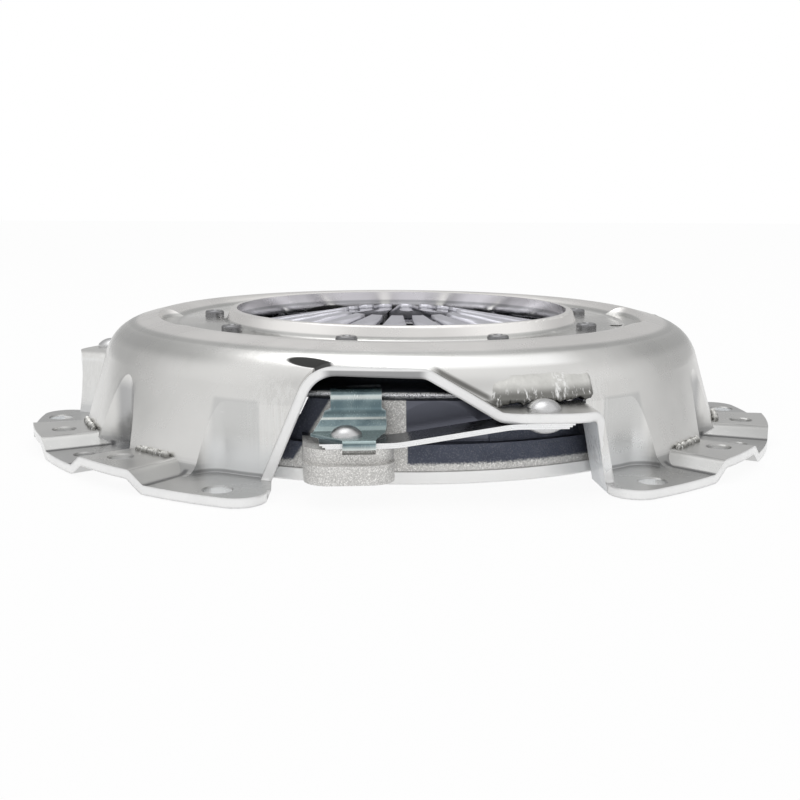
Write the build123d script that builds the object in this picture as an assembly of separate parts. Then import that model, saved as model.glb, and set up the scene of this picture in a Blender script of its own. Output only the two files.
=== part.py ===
from build123d import *
import math
import os

# Diaphragm-spring clutch cover assembly: pressed cover, spring, pressure plate, straps and rivets.
#
# Frame: +Z runs from the flywheel side to the release bearing side, the origin is the centre of the
# cover's seating face, and the middle of the first strap window faces -Y. Lengths are in millimetres.

# ---------------------------------------------------------------- cover pressing
SHEET = 3.2                     # thickness of the cover sheet
SECTORS = 3                     # strap windows, lugs and strap packs
PITCH = 360 / SECTORS
PAD_RISE = 4.1                  # raised pads stand this far above the bolt pads
FOOT_R = 128.3                  # wall line meets the top of a low pad
FOOT_BEND = 6.0
SHOULDER_R = 116.6              # corner where the wall turns into the top
SHOULDER_Z = 42.2
SHOULDER_BEND = 17.0
CREST_R = 97.5                  # corner of the raised ring round the top
CREST_Z = 47.0
CREST_BEND = 8.0
LAND_R = 90.0                   # outside of the rivet land
LAND_Z = 42.7                   # top face of the rivet land
LAND_BEND = 4.0
COLLAR_BORE_R = 66.9            # bore that the release bearing works through
COLLAR_TOP_Z = 48.2
COLLAR_TOP_R = 70.2
COLLAR_FOOT_R = 72.4
COLLAR_BEND = 2.0
COLLAR_LIP = 1.2                # rounding of the collar's top edge

# flange pads, as angles from the middle of a window
STEP_LOW_ANGLE = 39.4           # ramp from bolt pad to dowel pad: its foot
STEP_HIGH_ANGLE = 41.9          # and its top
MID_LOW_ANGLE = 55.2            # ramp down to the middle pad: its foot
MID_HIGH_ANGLE = 52.7
PAD_SKIRT = 6.0                 # flat carried past the foot of a pad's ramp
BOLT_PCD = 280.0
FLANGE_MARGIN = 8.0             # flange beyond the bolt circle
PIN_INSET = 2.0                 # dowel and middle holes lie this far inside the bolt circle
BOLT_ANGLE = 30.0
BOLT_HOLE = 9.0
HOLE_CHAMFER = 0.5
DOWEL_ANGLE = 48.7
DOWEL_HOLE = 8.0
MID_HOLE = 6.6
RAMP_FOOT_BEND = 2.0            # outer face of the sheet, at the foot of a pad's ramp
RAMP_TOP_BEND = 4.5
BOLT_POCKET_R = 121.0           # floor of the pocket that clears a bolt head
BOLT_POCKET_START = 12.0        # runs into the window from here
BOLT_POCKET_END = 37.8
BOLT_POCKET_CORNER = 8.0
MID_POCKET_FLOOR_R = 120.2      # floor of the half-round pocket round the middle hole
FLANGE_CORNER = 9.0
COIN_IN_R = 128.6               # flat coined into the wall foot beside each dowel hole
COIN_START = 43.2
COIN_END = 50.6
COIN_HEIGHT = 3.4
JIG_HOLE = 5.0                  # jig holes through the rivet land
JIG_R = 88.0
JIG_ANGLE = 73.0
DISH_ANGLES = (-78.0, 78.0)     # long dishes where the rivet land widens into the raised ring
DISH_SPAN = 28.0                # between the centres of a dish's round ends
DISH_R = 88.0
DISH_HALF = 9.0                 # half the width of its floor
DISH_FLARE = 6.0                # its sides lean out by this much over their height
DISH_DEPTH = 8.0
DISH_STEP = 0.6                 # floor above the land

# window and strap shelf, in the window's own frame: x sideways, d outward, z up
WINDOW_FOOT_X = 54.6
WINDOW_LEFT_TOP = (-39.0, 38.2)
WINDOW_RIGHT_TOP = (-4.6, 37.4)
SHELF_START_X = 18.0
SHELF_END_X = 49.2
WINDOW_CORNERS = (9.5, 5.0, 6.0, 2.0)
SHELF_UNDER_Z = 24.6            # face that the strap pack is riveted to
SLOT_RISE = 2.4                 # sheared gap above the shelf
SLOT_START_X = 12.5
SLOT_END_X = 50.0
EDGE_D = 100.0                  # the window's edge is worked from here outward
EDGE_PLAN = [                   # border of that edge seen from above: x, and how far behind the shelf's
    (-62, 22.5), (-57, 20.1), (-45, 15.7), (-30, 13.3), (-12, 10.9), (0, 9.9), (9, 7.5), (17, 3.3),
    (23, 0.5), (29, 0.0), (41, 0.0), (47, 1.7), (51, 5.5), (62, 6.5),
]

# ---------------------------------------------------------------- straps and rivets
LEAVES = 3
LEAF = 0.55                     # thickness of one leaf
STRAP_WIDTH = 13.0
STRAP_D = 124.0                 # distance of the strap's centre line from the axis
SHELF_RIVET_X = 32.8
LUG_RIVET_X = -29.8
STRAP_END = 8.6                 # leaf beyond each rivet
STRAP_FLATS = (15.0, 11.0)      # rivet to the corner where the leaf bends, at the lug and at the shelf
STRAP_BEND = 40.0
LEAF_STAGGER = 0.9              # each leaf is shorter than the one above it
STRAP_DROP = 5.4                # lug seat hangs this far below the shelf, plate fully down
STRAP_SHANK = 3.0
SHELF_HEAD = (5.4, 3.6)         # radius and height of the domed heads
SHELF_TAIL = (5.8, 2.6)
LUG_HEAD = (4.9, 3.4)
LUG_TAIL = (4.8, 1.6)
HEAD_RIM = 0.28                 # straight part of a head, as a share of its height

# ---------------------------------------------------------------- diaphragm spring
SPRING_T = 2.4
SPRING_R = 112.0
SPRING_RIM_Z = 31.4             # top face at the rim, plate fully down
CONE_SLOPE = 0.1763             # rise towards the centre, plate fully down
FINGERS = 18
TIP_R = 23.5
SLOT_W = 3.6
EYE_W = 9.6                     # window in the spring for each rivet
EYE_ROOM = 0.7
EYE_CORNER = 2.4
RIM_ROUND = 0.6
PIVOT_WIRE = 1.6                # radius of the pivot ring wire

# ---------------------------------------------------------------- fulcrum rivets
RIVETS = 9
RIVET_R = 78.8
RIVET_START = 20.0
RIVET_SHANK = 3.4
RIVET_NECK = 2.6
RIVET_HEAD = (3.9, 2.8)
HEAD_ROUND = 0.9
RIVET_DIMPLE = (0.6, 1.7, 0.9)  # radius at its floor, radius at its mouth, depth
RIVET_FOOT_T = 2.4

# ---------------------------------------------------------------- pressure plate
PLATE_R = 116.4
PLATE_BORE_R = 74.0
FACE_Z = 2.0                    # friction face, plate fully down
RING_TOP_Z = 15.0
MACHINED = 4.2                  # machined band up from the friction face
CAST_STEP = 0.6
FACE_CHAMFER = 0.6
RIDGE_INSET = 2.4               # crest that carries the spring, in from the spring's rim
RIDGES = ((1.0, 52.0), (46.0, 22.0), (76.0, 22.0))  # middle and span of each ridge in a sector
RIDGE_END_SLOPE = 24.0          # lean of a ridge's ends
RIDGE_CREST = 1.8
RIDGE_ROUND = 0.7
RIDGE_OUT = 3.0                 # foot of a ridge, outward and inward from its crest
RIDGE_IN = 5.1
RIDGE_SINK = 1.0
MILL_START_X = -9.6             # flat milled on the ridge beside the straps
MILL_GAP = 0.1                  # between that flat and the crest
LUG_X = -29.0
LUG_HALF = 14.2
LUG_NOSE = 10.0                 # lug beyond the centre line of the straps
LUG_ROOT = 100.0
LUG_CORNER = 8.0
LUG_UNDER_Z = 6.8
LUG_STEP = 4.6                  # ledge this far below the strap seat
LUG_STEP_IN = 3.2
LUG_NOTCH = (1.7, 2.6)          # notch under the clip's tab: height and depth

# ---------------------------------------------------------------- retracting clips
CLIP_T = 1.1
CLIP_ROOM = 1.34                # between the clip's upright and the spring's rim
CLIP_HOOK = 5.0                 # reach over the spring's rim
CLIP_KNEE_Z = 25.6
CLIP_BASE_IN = 6.0              # foot of the clip's slope, in from the straps' centre line
CLIP_BEND = 1.6
CLIP_TOP_X = (-34.2, -17.8)
CLIP_KNEE_X = (-36.2, -16.4)
CLIP_TAB_X = (-31.4, -21.1)
CLIP_TAB_DROP = 2.8
CLIP_TAB_BEND = 0.6             # inside of the front tab's bend
CLIP_SPLIT = 4.8                # outline changes this far up the slope
CLIP_EAR = (4.6, 5.8)           # left ear beyond the knee: sideways and outward
CLIP_SHOULDER = 3.0             # right edge runs straight this far outward
CLIP_NECK = 0.5                 # tab starts this far before its bend

# ---------------------------------------------------------------- clearances
RUN = 0.3                       # between the moving body and the fixed one
SEAT = 0.02                     # between seated pieces
OVERRUN = 4.0                   # tools run this far past what they cut

# ---------------------------------------------------------------- sizes that follow
BOLT_R = BOLT_PCD / 2
PIN_R = BOLT_R - PIN_INSET
COVER_R = BOLT_R + FLANGE_MARGIN
SHELF_EDGE = STRAP_D + STRAP_WIDTH / 2
PACK = LEAVES * (LEAF + SEAT)
SHELF_TOP_Z = SHELF_UNDER_Z + SHEET
LUG_SEAT_Z = SHELF_UNDER_Z - PACK - STRAP_DROP - SEAT
CLIP_BASE_Z = LUG_SEAT_Z + PACK + SEAT
EYE_OUT_R = RIVET_R + RIVET_SHANK + EYE_ROOM
EYE_IN_R = RIVET_R - RIVET_SHANK - EYE_ROOM
FULCRUM_R = EYE_OUT_R + PIVOT_WIRE
LAND_UNDER_Z = LAND_Z - SHEET
RIDGE_R = SPRING_R - RIDGE_INSET
LUG_REACH = STRAP_D + LUG_NOSE
CLIP_WALL_D = math.sqrt((SPRING_R + CLIP_ROOM) ** 2 - CLIP_TOP_X[1] ** 2)
CLIP_BASE_D = STRAP_D - CLIP_BASE_IN
LARGE = 60.0                    # tool length that clears the whole part


def spring_top(radius):
    """Height of the spring's upper face, plate fully down."""
    return SPRING_RIM_Z + CONE_SLOPE * (SPRING_R - radius)


def upright(thickness):
    """Vertical measure of a sheet that lies on the cone."""
    return thickness * math.hypot(1, CONE_SLOPE)


SPRING_UNDER = upright(SPRING_T)
HOOK_UNDER_Z = spring_top(math.hypot(CLIP_WALL_D - CLIP_HOOK, CLIP_TOP_X[1])) + RUN
UPPER_RING_Z = spring_top(FULCRUM_R) + upright(PIVOT_WIRE) + SEAT
LOWER_RING_Z = spring_top(FULCRUM_R) - SPRING_UNDER - upright(PIVOT_WIRE) - SEAT
RIVET_FOOT_Z = LOWER_RING_Z - PIVOT_WIRE - SEAT
RIDGE_TOP_Z = spring_top(RIDGE_R) - SPRING_UNDER - RUN


# ---------------------------------------------------------------- helpers
def polar(radius, angle):
    """Point at an angle counted from -Y towards +X."""
    a = math.radians(angle)
    return (radius * math.sin(a), -radius * math.cos(a))


def around(solid, angle):
    """The solid turned about the axis."""
    return Rot(0, 0, angle) * solid


def thirds(solid):
    """The solid at every window."""
    return [around(solid, PITCH * i) for i in range(SECTORS)]


def cut(solid, tools):
    """The solid less every tool, still one solid."""
    return (solid - tools).solid()


def shifted(points, distance):
    """Corners of an open path moved to its right-hand side by a distance."""
    sides = []
    for (x0, y0), (x1, y1) in zip(points, points[1:]):
        length = math.hypot(x1 - x0, y1 - y0)
        nx, ny = (y1 - y0) / length, -(x1 - x0) / length
        sides.append(((x0 + nx * distance, y0 + ny * distance), (x1 - x0, y1 - y0)))
    moved = [sides[0][0]]
    for (p, u), (q, v) in zip(sides, sides[1:]):
        cross = u[0] * v[1] - u[1] * v[0]
        t = ((q[0] - p[0]) * v[1] - (q[1] - p[1]) * v[0]) / cross
        moved.append((p[0] + u[0] * t, p[1] + u[1] * t))
    p, u = sides[-1]
    return moved + [(p[0] + u[0], p[1] + u[1])]


def bent_path(points, bends):
    """Rounded path in the X-Z plane."""
    return FilletPolyline(*[Vector(x, 0, z) for x, z in points], radius=bends)


def region(*paths):
    """Face inside paths that follow each other, closed by straight lines."""
    edges = []
    for path in paths:
        if edges:
            edges.append(Edge.make_line(edges[-1] @ 1, path @ 0))
        edges += path.edges()
    edges.append(Edge.make_line(edges[-1] @ 1, edges[0] @ 0))
    return make_face(Wire(edges))


def bent_strip(points, bends, thickness):
    """X-Z face of a sheet of even thickness whose left-hand face follows a path."""
    other = shifted(points, thickness)
    turns = []
    for a, b, c in zip(points, points[1:], points[2:]):
        left = (b[0] - a[0]) * (c[1] - b[1]) - (b[1] - a[1]) * (c[0] - b[0]) > 0
        turns.append(1 if left else -1)
    back_bends = [max(r + thickness * t, 0.0) for r, t in zip(bends, turns)]
    back = bent_path(other[::-1], back_bends[::-1])
    return region(bent_path(points, bends), back)


def outward(face, start, end):
    """X-Z face given a depth along -Y, between two distances from the axis."""
    return Pos(0, -start, 0) * extrude(face, amount=end - start, dir=(0, -1, 0))


def ring_sector(inner_r, outer_r, start, end, bottom, top):
    """Part of a ring between two angles."""
    corners = [polar(inner_r, start), polar(outer_r, start), polar(outer_r, end), polar(inner_r, end)]
    middle = (start + end) / 2
    edges = [
        Edge.make_line(corners[0], corners[1]),
        ThreePointArc(corners[1], polar(outer_r, middle), corners[2]).edge(),
        Edge.make_line(corners[2], corners[3]),
        ThreePointArc(corners[3], polar(inner_r, middle), corners[0]).edge(),
    ]
    return Pos(0, 0, bottom) * extrude(make_face(Wire(edges)), amount=top - bottom, dir=(0, 0, 1))


def drilled(radius, angle, bore_r, bottom=-LARGE, top=LARGE):
    """Upright cylinder at a place given by radius and angle."""
    x, y = polar(radius, angle)
    return Pos(x, y, (bottom + top) / 2) * Cylinder(bore_r, top - bottom)


def domed(radius, height):
    """Rivet head: a low dome standing on z = 0."""
    rim = height * HEAD_RIM
    crown = height - rim
    sphere_r = (radius ** 2 + crown ** 2) / (2 * crown)
    mid = sphere_r * math.sin(math.asin(radius / sphere_r) / 2)
    mid_z = height - sphere_r + math.sqrt(sphere_r ** 2 - mid ** 2)
    edges = [
        Edge.make_line((0, 0, 0), (radius, 0, 0)),
        Edge.make_line((radius, 0, 0), (radius, 0, rim)),
        ThreePointArc((radius, 0, rim), (mid, 0, mid_z), (0, 0, height)).edge(),
        Edge.make_line((0, 0, height), (0, 0, 0)),
    ]
    return revolve(make_face(Wire(edges)), Axis.Z, 360)


# ---------------------------------------------------------------- cover
def dome(inner):
    """Solid under the pressing's upper face, or under its lower face."""
    upper = [
        (COVER_R + LARGE, SHEET),
        (FOOT_R, SHEET),
        (SHOULDER_R, SHOULDER_Z),
        (CREST_R, CREST_Z),
        (LAND_R, LAND_Z),
        (COLLAR_FOOT_R, LAND_Z),
        (COLLAR_TOP_R, COLLAR_TOP_Z),
    ]
    bends = [FOOT_BEND, SHOULDER_BEND, CREST_BEND, LAND_BEND, COLLAR_BEND]
    if inner:
        upper = shifted(upper, -SHEET)
        hollow = (-1, 1, 1, -1, -1)
        bends = [b - SHEET * h for b, h in zip(bends, hollow)]
        upper[-1] = (COLLAR_BORE_R, COLLAR_TOP_Z + SHEET)
    axis = Polyline(Vector(0, 0, upper[-1][1]), Vector(0, 0, -LARGE), Vector(upper[0][0], 0, -LARGE))
    return revolve(region(bent_path(upper, bends), axis), Axis.Z, 360)


def bolt_pocket(side, inner):
    """Upright pocket that clears the head of a bolt, open towards the window."""
    grow = SHEET if inner else 0.0
    floor_r = BOLT_POCKET_R - grow
    end = BOLT_POCKET_END + math.degrees(grow / BOLT_POCKET_R)
    solid = ring_sector(floor_r, COVER_R + LARGE, BOLT_POCKET_START, end, SHEET - grow, LARGE)
    corner = solid.edges().filter_by(Axis.Z).sort_by_distance(Vertex(*polar(floor_r, end), 10))[0]
    solid = fillet(corner, BOLT_POCKET_CORNER + grow)
    return solid if side > 0 else mirror(solid, Plane.YZ)


def mid_pocket(inner):
    """Half-round pocket beside the middle hole."""
    grow = SHEET if inner else 0.0
    return drilled(PIN_R, PITCH / 2, PIN_R - MID_POCKET_FLOOR_R + grow, SHEET - grow, LARGE)


def dish(angle, inner):
    """Long shallow dish along the outside of the rivet land."""
    grow = SHEET if inner else 0.0
    bottom, floor = LAND_Z + DISH_STEP - grow, DISH_HALF + grow / 2
    height = DISH_DEPTH + grow
    corners = [
        (DISH_R - floor, bottom), (DISH_R + floor, bottom),
        (DISH_R + floor + DISH_FLARE, bottom + height), (DISH_R - floor - DISH_FLARE, bottom + height),
    ]
    face = make_face(Polyline(*[Vector(r, 0, z) for r, z in corners], close=True))
    solid = around(revolve(face, Axis.Z, DISH_SPAN), angle - DISH_SPAN / 2 - 90)
    for side in (-1, 1):
        x, y = polar(DISH_R, angle + side * DISH_SPAN / 2)
        solid += Pos(x, y, bottom + height / 2) * Cone(floor, floor + DISH_FLARE, height)
    return solid.solid()


def dowel_pad(side, inner):
    """Raised flange pad with ramps that run along the radius."""
    drop = SHEET if inner else 0.0
    middle = (STEP_LOW_ANGLE + MID_LOW_ANGLE) / 2
    faces = []
    for radius in (SHOULDER_R, COVER_R + OVERRUN):
        low_w = radius * math.radians(MID_LOW_ANGLE - STEP_LOW_ANGLE) / 2
        high_w = radius * math.radians(MID_HIGH_ANGLE - STEP_HIGH_ANGLE) / 2
        low_z, high_z = SHEET, SHEET + PAD_RISE
        path = [(-low_w - PAD_SKIRT, low_z), (-low_w, low_z), (-high_w, high_z)]
        path += [(high_w, high_z), (low_w, low_z), (low_w + PAD_SKIRT, low_z)]
        foot, top = RAMP_FOOT_BEND, RAMP_TOP_BEND
        if inner:
            path = shifted(path, SHEET)
            foot, top = foot + SHEET, top - SHEET
        bends = [foot, top, top, foot]
        base = Polyline(Vector(path[-1][0], 0, -LARGE), Vector(path[0][0], 0, -LARGE))
        faces.append(Pos(0, -radius, 0) * region(bent_path(path, bends), base))
    solid = around(loft(faces, ruled=True), middle)
    return solid if side > 0 else mirror(solid, Plane.YZ)


def press_form(inner):
    """Everything under the sheet's upper face, or under its lower face."""
    form = dome(inner)
    pockets = [bolt_pocket(1, inner), bolt_pocket(-1, inner)]
    dishes = [dish(angle, inner) for angle in DISH_ANGLES]
    form = cut(form, thirds(pockets[0]) + thirds(pockets[1]) + thirds(mid_pocket(inner)) + dishes)
    pads = thirds(dowel_pad(1, inner)) + thirds(dowel_pad(-1, inner))
    return (form + pads).solid()


def window_path():
    """Opening of a strap window, from its left foot over to its right foot."""
    left_slope = (WINDOW_LEFT_TOP[0] + WINDOW_FOOT_X) / WINDOW_LEFT_TOP[1]
    right_slope = (WINDOW_FOOT_X - SHELF_END_X) / SHELF_UNDER_Z
    return [
        (-WINDOW_FOOT_X - OVERRUN * left_slope, -OVERRUN),
        WINDOW_LEFT_TOP,
        WINDOW_RIGHT_TOP,
        (SHELF_START_X, SHELF_UNDER_Z),
        (SHELF_END_X, SHELF_UNDER_Z),
        (WINDOW_FOOT_X + OVERRUN * right_slope, -OVERRUN),
    ]


def window_edge(hollow):
    """Turned-out edge of the window, which widens into the shelf for the straps."""
    face = bent_strip(window_path(), list(WINDOW_CORNERS), -SHEET)
    band = outward(face, EDGE_D, SHELF_EDGE + SHEET)
    border = Spline(*[(x, behind - SHELF_EDGE) for x, behind in EDGE_PLAN])
    start, end = border @ 0, border @ 1
    sides = Polyline(end, (end.X, -EDGE_D), (start.X, -EDGE_D), start)
    plan = extrude(make_face(Wire(border.edges() + sides.edges())), amount=LARGE, dir=(0, 0, 1))
    return cut(band & plan, [hollow])


def window_opening():
    """Hole through the wall and the flange, with the sheared gap over the shelf."""
    opening = outward(region(bent_path(window_path(), list(WINDOW_CORNERS))), EDGE_D, COVER_R + LARGE)
    width = SLOT_END_X - SLOT_START_X
    slot = Pos((SLOT_START_X + SLOT_END_X) / 2, -(EDGE_D + COVER_R) / 2, SHELF_TOP_Z) * Box(
        width, COVER_R - EDGE_D, 2 * SLOT_RISE)
    return [opening, slot]


def flange_corners():
    """Tools that round the flange's two corners at a window."""
    x = WINDOW_FOOT_X + FLANGE_CORNER
    y = math.sqrt((COVER_R - FLANGE_CORNER) ** 2 - x ** 2)
    reach = 2 * FLANGE_CORNER
    out_x, out_y = x * reach / math.hypot(x, y), y * reach / math.hypot(x, y)
    wedge = Polyline((x, -y), (x - reach, -y), (x - reach, -y - reach), (x, -y - reach),
                     (x + out_x, -y - out_y), close=True)
    blank = extrude(make_face(wedge), amount=SHEET, dir=(0, 0, 1))
    tool = blank - Pos(x, -y, 0) * Cylinder(FLANGE_CORNER, LARGE)
    return [tool, mirror(tool, Plane.YZ)]


def countersinks():
    """Small chamfers round the tops and bottoms of the flange holes."""
    pad_z = SHEET + PAD_RISE
    sets = (
        (BOLT_R, (-BOLT_ANGLE, BOLT_ANGLE), BOLT_HOLE / 2, SHEET),
        (PIN_R, (-DOWEL_ANGLE, DOWEL_ANGLE), DOWEL_HOLE / 2, pad_z),
        (PIN_R, (PITCH / 2,), MID_HOLE / 2, SHEET),
    )
    tools = []
    for radius, angles, bore_r, top in sets:
        for angle in angles:
            x, y = polar(radius, angle)
            wide_r = bore_r + 2 * HOLE_CHAMFER
            tools += thirds(Pos(x, y, top) * Cone(bore_r, wide_r, 2 * HOLE_CHAMFER))
            tools += thirds(Pos(x, y, top - SHEET) * Cone(wide_r, bore_r, 2 * HOLE_CHAMFER))
    return tools


def hole_set(radius, angles, bore_r):
    """The same hole at every angle and every window."""
    return [drilled(radius, a + PITCH * i, bore_r) for a in angles for i in range(SECTORS)]


def cover():
    """Pressed steel cover with its flange, windows, shelves, collar and holes."""
    hollow = press_form(True)
    shell = press_form(False) & (Pos(0, 0, LARGE / 2) * Cylinder(COVER_R, 2 * LARGE))
    shell = cut(shell, [hollow, Cylinder(COLLAR_BORE_R, 3 * LARGE)])
    lip = shell.edges().filter_by(GeomType.CIRCLE).group_by(Axis.Z)[-1].sort_by(SortBy.RADIUS)[-1]
    shell = fillet(lip, COLLAR_LIP)
    shell = cut(shell, [t for tool in window_opening() + flange_corners() for t in thirds(tool)])
    shell = (shell + thirds(window_edge(hollow))).solid()
    holes = hole_set(BOLT_R, (-BOLT_ANGLE, BOLT_ANGLE), BOLT_HOLE / 2)
    holes += hole_set(PIN_R, (-DOWEL_ANGLE, DOWEL_ANGLE), DOWEL_HOLE / 2)
    holes += hole_set(PIN_R, (PITCH / 2,), MID_HOLE / 2)
    holes += hole_set(JIG_R, (JIG_ANGLE,), JIG_HOLE / 2)
    holes += [drilled(RIVET_R, a, RIVET_NECK + SEAT) for a in rivet_angles()]
    rivet_r = math.hypot(SHELF_RIVET_X, STRAP_D)
    rivet_angle = math.degrees(math.atan2(SHELF_RIVET_X, STRAP_D))
    holes += hole_set(rivet_r, (rivet_angle,), STRAP_SHANK + SEAT)
    pad_z = SHEET + PAD_RISE
    for start, end in ((COIN_START, COIN_END), (-COIN_END, -COIN_START)):
        holes += thirds(ring_sector(COIN_IN_R, COVER_R + OVERRUN, start, end, pad_z, pad_z + COIN_HEIGHT))
    return cut(shell, holes + countersinks())


# ---------------------------------------------------------------- spring and fulcrum
def rivet_angles():
    """Places of the fulcrum rivets."""
    return [RIVET_START + 360 / RIVETS * i for i in range(RIVETS)]


def diaphragm_spring():
    """Slotted cone spring, fingers rising towards the centre."""
    low = SPRING_UNDER
    corners = [
        (SPRING_R, spring_top(SPRING_R) - low),
        (SPRING_R, spring_top(SPRING_R)),
        (TIP_R, spring_top(TIP_R)),
        (TIP_R, spring_top(TIP_R) - low),
    ]
    cone = revolve(make_face(Polyline(*[Vector(r, 0, z) for r, z in corners], close=True)), Axis.Z, 360)
    rim = cone.edges().filter_by(GeomType.CIRCLE).sort_by(SortBy.RADIUS)[-2:]
    cone = fillet(rim, RIM_ROUND)
    slots = []
    for i in range(FINGERS):
        slot = Pos(0, -EYE_IN_R / 2, 0) * Box(SLOT_W, EYE_IN_R, 2 * LARGE)
        eye = Pos(0, -(EYE_IN_R + EYE_OUT_R) / 2, 0) * Box(EYE_W, EYE_OUT_R - EYE_IN_R, 2 * LARGE)
        eye = fillet(eye.edges().filter_by(Axis.Z), EYE_CORNER)
        slots += [around(slot, 360 / FINGERS * i), around(eye, 360 / FINGERS * i)]
    return cut(cone, slots)


def pivot_ring(height):
    """Wire ring that the spring tilts on."""
    return Pos(0, 0, height) * Torus(FULCRUM_R, PIVOT_WIRE)


def fulcrum_rivet(angle):
    """Shouldered rivet: foot flange, shank through the spring, neck through the cover, head."""
    foot_r = FULCRUM_R + PIVOT_WIRE / 2 - RIVET_R
    outline = [
        (0, RIVET_FOOT_Z - RIVET_FOOT_T), (foot_r, RIVET_FOOT_Z - RIVET_FOOT_T), (foot_r, RIVET_FOOT_Z),
        (RIVET_SHANK, RIVET_FOOT_Z), (RIVET_SHANK, LAND_UNDER_Z - SEAT), (RIVET_NECK, LAND_UNDER_Z - SEAT),
        (RIVET_NECK, LAND_Z + SEAT), (RIVET_HEAD[0], LAND_Z + SEAT),
        (RIVET_HEAD[0], LAND_Z + RIVET_HEAD[1]), (0, LAND_Z + RIVET_HEAD[1]),
    ]
    solid = revolve(make_face(Polyline(*[Vector(r, 0, z) for r, z in outline], close=True)), Axis.Z, 360)
    rim = solid.edges().filter_by(GeomType.CIRCLE).sort_by(Axis.Z)[-1]
    solid = fillet(rim, HEAD_ROUND)
    dimple = Pos(0, 0, LAND_Z + RIVET_HEAD[1] - RIVET_DIMPLE[2] / 2) * Cone(*RIVET_DIMPLE)
    x, y = polar(RIVET_R, angle)
    return Pos(x, y, 0) * cut(solid, [dimple])


# ---------------------------------------------------------------- pressure plate
def ridge(middle, span):
    """Crest of the casting that carries the spring's rim."""
    half = RIDGE_CREST / 2
    foot_z = RING_TOP_Z - RIDGE_SINK
    corners = [
        (RIDGE_R - RIDGE_IN, foot_z), (RIDGE_R + RIDGE_OUT, foot_z),
        (RIDGE_R + half, RIDGE_TOP_Z), (RIDGE_R - half, RIDGE_TOP_Z),
    ]
    face = make_face(Polyline(*[Vector(r, 0, z) for r, z in corners], close=True))
    solid = revolve(face, Axis.Z, span)
    crest = solid.edges().filter_by(GeomType.CIRCLE).group_by(Axis.Z)[-1]
    solid = around(fillet(crest, RIDGE_ROUND), -90 - span / 2)
    block = Box(LARGE, LARGE, LARGE)
    for side in (-1, 1):
        x, y = polar(RIDGE_R, side * span / 2)
        lean = Rot(0, 0, side * span / 2) * Rot(0, -side * RIDGE_END_SLOPE, 0)
        solid = cut(solid, [Pos(x, y, RING_TOP_Z) * lean * Pos(side * LARGE / 2, 0, 0) * block])
    return around(solid, middle)


def mill():
    """Tool for the upright flat that clears the straps beside the lug."""
    width = SHELF_START_X - MILL_START_X
    front = RIDGE_R + RIDGE_CREST / 2 + MILL_GAP
    place = Pos(MILL_START_X + width / 2, -front - LARGE / 2, RING_TOP_Z + LARGE / 2)
    return place * Box(width, LARGE, LARGE)


def lug():
    """Ear that reaches out through the window and carries one end of the straps."""
    ears = []
    for reach, top in ((LUG_REACH - LUG_STEP_IN, LUG_SEAT_Z), (LUG_REACH, LUG_SEAT_Z - LUG_STEP)):
        length = reach - LUG_ROOT
        ear = Pos(LUG_X, -(LUG_ROOT + reach) / 2, (LUG_UNDER_Z + top) / 2) * Box(
            2 * LUG_HALF, length, top - LUG_UNDER_Z)
        corners = ear.edges().filter_by(Axis.Z).sort_by(Axis.Y)[:2]
        ears.append(fillet(corners, LUG_CORNER))
    height, depth = LUG_NOTCH
    left, right = CLIP_TAB_X
    notch = Box(right - left, 2 * depth, 2 * height)
    front = LUG_STEP_IN - LUG_REACH
    return cut(ears[0] + ears[1], [Pos((left + right) / 2, front, LUG_SEAT_Z) * notch])


def pressure_plate():
    """Cast iron ring with a machined friction face, spring ridges and strap lugs."""
    machined_z = FACE_Z + MACHINED
    corners = [
        (PLATE_BORE_R, FACE_Z), (PLATE_R, FACE_Z), (PLATE_R, machined_z),
        (PLATE_R - CAST_STEP, machined_z + CAST_STEP / 2), (PLATE_R - 2 * CAST_STEP, RING_TOP_Z),
        (PLATE_BORE_R + CAST_STEP, RING_TOP_Z),
    ]
    face = make_face(Polyline(*[Vector(r, 0, z) for r, z in corners], close=True))
    ring = revolve(face, Axis.Z, 360)
    rims = ring.edges().filter_by(GeomType.CIRCLE).group_by(Axis.Z)[0]
    ring = chamfer(rims, FACE_CHAMFER)
    added = thirds(lug()) + [r for middle, span in RIDGES for r in thirds(ridge(middle, span))]
    plate = (ring + added).solid()
    rivet_r = math.hypot(LUG_RIVET_X, STRAP_D)
    rivet_angle = math.degrees(math.atan2(LUG_RIVET_X, STRAP_D))
    return cut(plate, hole_set(rivet_r, (rivet_angle,), STRAP_SHANK + SEAT) + thirds(mill()))


# ---------------------------------------------------------------- straps, clips and their rivets
def drive_leaf(layer):
    """One spring steel leaf from the shelf down to the lug."""
    top = SHELF_UNDER_Z - SEAT - layer * (LEAF + SEAT)
    end = STRAP_END - LEAF_STAGGER * layer
    points = [
        (LUG_RIVET_X - end, top - STRAP_DROP),
        (LUG_RIVET_X + STRAP_FLATS[0], top - STRAP_DROP),
        (SHELF_RIVET_X - STRAP_FLATS[1], top),
        (SHELF_RIVET_X + end, top),
    ]
    face = bent_strip(points, [STRAP_BEND, STRAP_BEND], LEAF)
    leaf = outward(face, STRAP_D - STRAP_WIDTH / 2, STRAP_D + STRAP_WIDTH / 2)
    holes = [Pos(x, -STRAP_D, top) * Cylinder(STRAP_SHANK + SEAT, LARGE)
             for x in (LUG_RIVET_X, SHELF_RIVET_X)]
    return cut(leaf, holes)


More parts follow.
